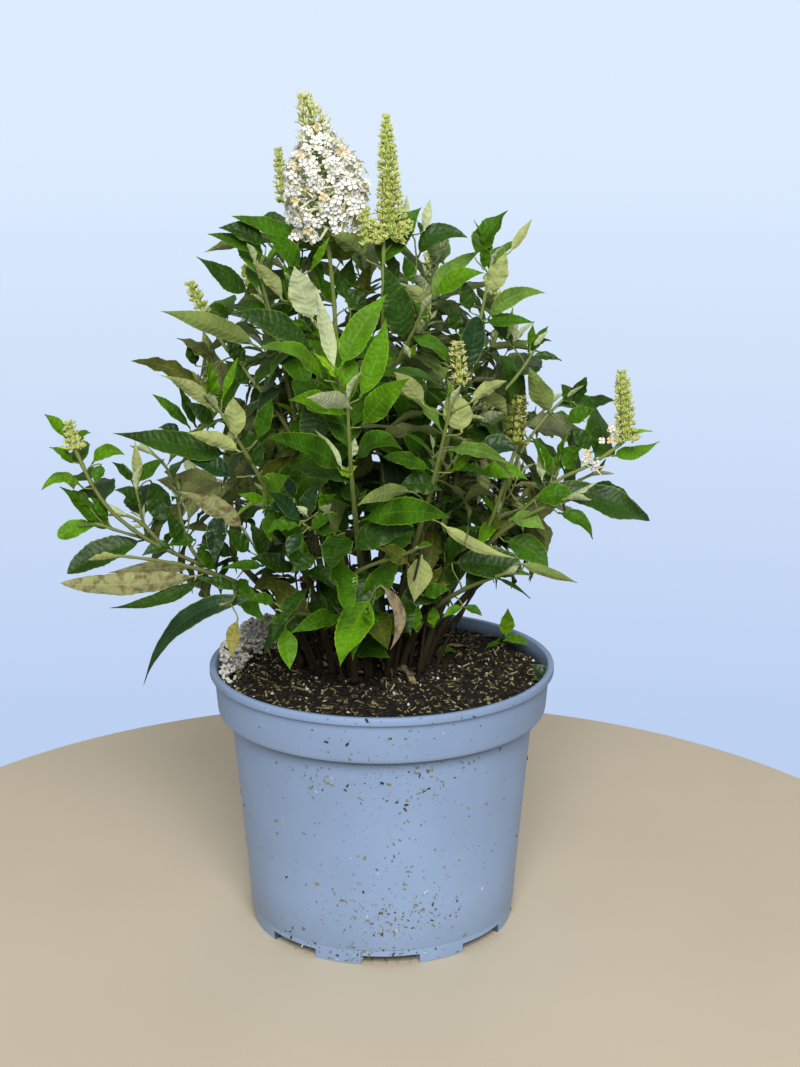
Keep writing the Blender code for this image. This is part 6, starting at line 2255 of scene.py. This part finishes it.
class MakeStage(bpy.types.Operator):
    """Pale round floor, pale air, soft lights and the photograph's camera"""

    bl_idname = "bush.stage"
    bl_label = "Stage"

    def execute(self, context):
        settings = context.scene.bush_stage
        clear_selection()
        bpy.ops.mesh.primitive_cylinder_add(vertices=192, radius=FLOOR_RADIUS * MM, depth=FLOOR_THICK * MM,
                                            location=(0, 0, -FLOOR_THICK * MM / 2))
        floor = bpy.context.object
        floor.name = "studio_floor"
        bpy.ops.object.transform_apply(location=True, rotation=True, scale=True)
        bpy.ops.object.shade_smooth_by_angle(angle=math.radians(40))
        floor.data.materials.append(board_material(tuple(settings.floor)))
        self.backdrop(tuple(settings.backdrop))
        world = bpy.data.worlds.new("studio_air")
        context.scene.world = world
        world.use_nodes = True
        air = world.node_tree.nodes["Background"]
        fill_inputs(world.node_tree, air, {"Color": linear("#F0F3F6"), "Strength": settings.air})
        for name, place, aim, size, power, colour in (
                ("key", (0.15, -2.15, 1.85), (0, 0, 0.25), 1.3, settings.key, "#FFFDF8"),
                ("fill", (-1.5, -1.2, 0.9), (0, 0, 0.25), 1.4, settings.fill, "#FFFFFF"),
                ("rim", (0.3, 1.6, 1.7), (0, 0, 0.35), 1.2, settings.rim, "#FFFFFF")):
            light = bpy.data.lights.new(name, "AREA")
            light.size = size
            light.energy = power
            light.color = linear(colour)
            lamp = bpy.data.objects.new(name, light)
            lamp.location = place
            lamp.rotation_euler = (Vector(aim) - Vector(place)).to_track_quat("-Z", "Y").to_euler()
            context.scene.collection.objects.link(lamp)
        lens = bpy.data.cameras.new("camera")
        lens.sensor_width = SENSOR
        lens.lens = SENSOR * FOCAL_PIXELS / PICTURE[1]
        lens.clip_start, lens.clip_end = 0.05, 50.0
        camera = bpy.data.objects.new("camera", lens)
        camera.location = CAMERA_PLACE
        camera.rotation_euler = (math.pi / 2 - CAMERA_PITCH, 0, 0)
        context.scene.collection.objects.link(camera)
        context.scene.camera = camera
        context.scene.view_settings.view_transform = "Standard"
        return {"FINISHED"}

    def backdrop(self, colour):
        """A pale shell of even light all round, which only the camera sees."""
        clear_selection()
        bpy.ops.mesh.primitive_uv_sphere_add(segments=48, ring_count=24, radius=BACKDROP_RADIUS * MM)
        shell = bpy.context.object
        shell.name = "studio_backdrop"
        bpy.ops.object.mode_set(mode="EDIT")
        bpy.ops.mesh.select_all(action="SELECT")
        bpy.ops.mesh.flip_normals()
        bpy.ops.object.mode_set(mode="OBJECT")
        shell.visible_diffuse = shell.visible_glossy = shell.visible_shadow = False
        shell.visible_transmission = False
        shell.data.materials.append(paper_material(colour))
        return shell


def colour_setting(name, description, default):
    """A colour that a user may change."""
    return FloatVectorProperty(name=name, description=description, subtype="COLOR",
                               default=linear(default), min=0.0, max=1.0)


def power_setting(name, description, default):
    """A lamp's power that a user may change."""
    return FloatProperty(name=name, description=description, default=default, min=0.0, unit="POWER")


class PlantSettings(bpy.types.PropertyGroup):
    """Sizes of the plant"""

    shoot_radius: FloatProperty(name="Shoot radius", description="Radius of the finest shoots",
                                default=0.0006, min=0.0002, max=0.002, unit="LENGTH")
    thin_stems: IntProperty(name="Thin stems", description="Slim woody shoots among the stems",
                            default=46, min=0)
    fallen_leaves: IntProperty(name="Fallen leaves", description="Dead leaves on the soil",
                               default=54, min=0)


class ColourSettings(bpy.types.PropertyGroup):
    """Main colours"""

    pot: colour_setting("Pot", "Colour of the moulded pot", "#97B1DA")
    petal: colour_setting("Petal", "Colour of the open florets", "#FFFFFF")
    compost: colour_setting("Compost", "Colour of the bed of compost", "#0C0A07")


class StageSettings(bpy.types.PropertyGroup):
    """Floor, backdrop and lights"""

    floor: colour_setting("Floor", "Colour of the floor", "#DACEB8")
    backdrop: colour_setting("Backdrop", "Colour of the backdrop", "#DBEAFC")
    key: power_setting("Key light", "Power of the key light", 66.0)
    fill: power_setting("Fill light", "Power of the fill light", 1.5)
    rim: power_setting("Rim light", "Power of the light from behind", 6.0)
    air: FloatProperty(name="Air light", description="Strength of the light all round", default=0.28,
                       min=0.0)


STEPS = (MakePot, MakePotSpecks, MakeSoil, MakeStems, MakeTwigs, MakeFoliage, MakeBlossom, MakeDriedHeads,
         MakeStage)
SETTINGS = {"bush_plant": PlantSettings, "bush_colours": ColourSettings, "bush_stage": StageSettings}


class BushPanel(bpy.types.Panel):
    """The bush's pieces and settings, in the sidebar"""

    bl_idname = "VIEW3D_PT_bush"
    bl_label = "Potted butterfly bush"
    bl_space_type = "VIEW_3D"
    bl_region_type = "UI"
    bl_category = "Bush"

    def draw(self, context):
        for step in STEPS:
            self.layout.operator(step.bl_idname)
        for key, group in SETTINGS.items():
            settings = getattr(context.scene, key)
            for name in group.__annotations__:
                self.layout.prop(settings, name)


def register():
    """Registers the settings, the pieces and the panel."""
    for item in (*SETTINGS.values(), *STEPS, BushPanel):
        bpy.utils.register_class(item)
    for key, group in SETTINGS.items():
        setattr(bpy.types.Scene, key, PointerProperty(type=group))


def unregister():
    """Takes them all away again."""
    for key in SETTINGS:
        delattr(bpy.types.Scene, key)
    for item in (BushPanel, *reversed(STEPS), *SETTINGS.values()):
        bpy.utils.unregister_class(item)


def main():
    """Builds every piece in order."""
    register()
    for step in STEPS:
        group, name = step.bl_idname.split(".")
        getattr(getattr(bpy.ops, group), name)()


if __name__ == "__main__":
    main()
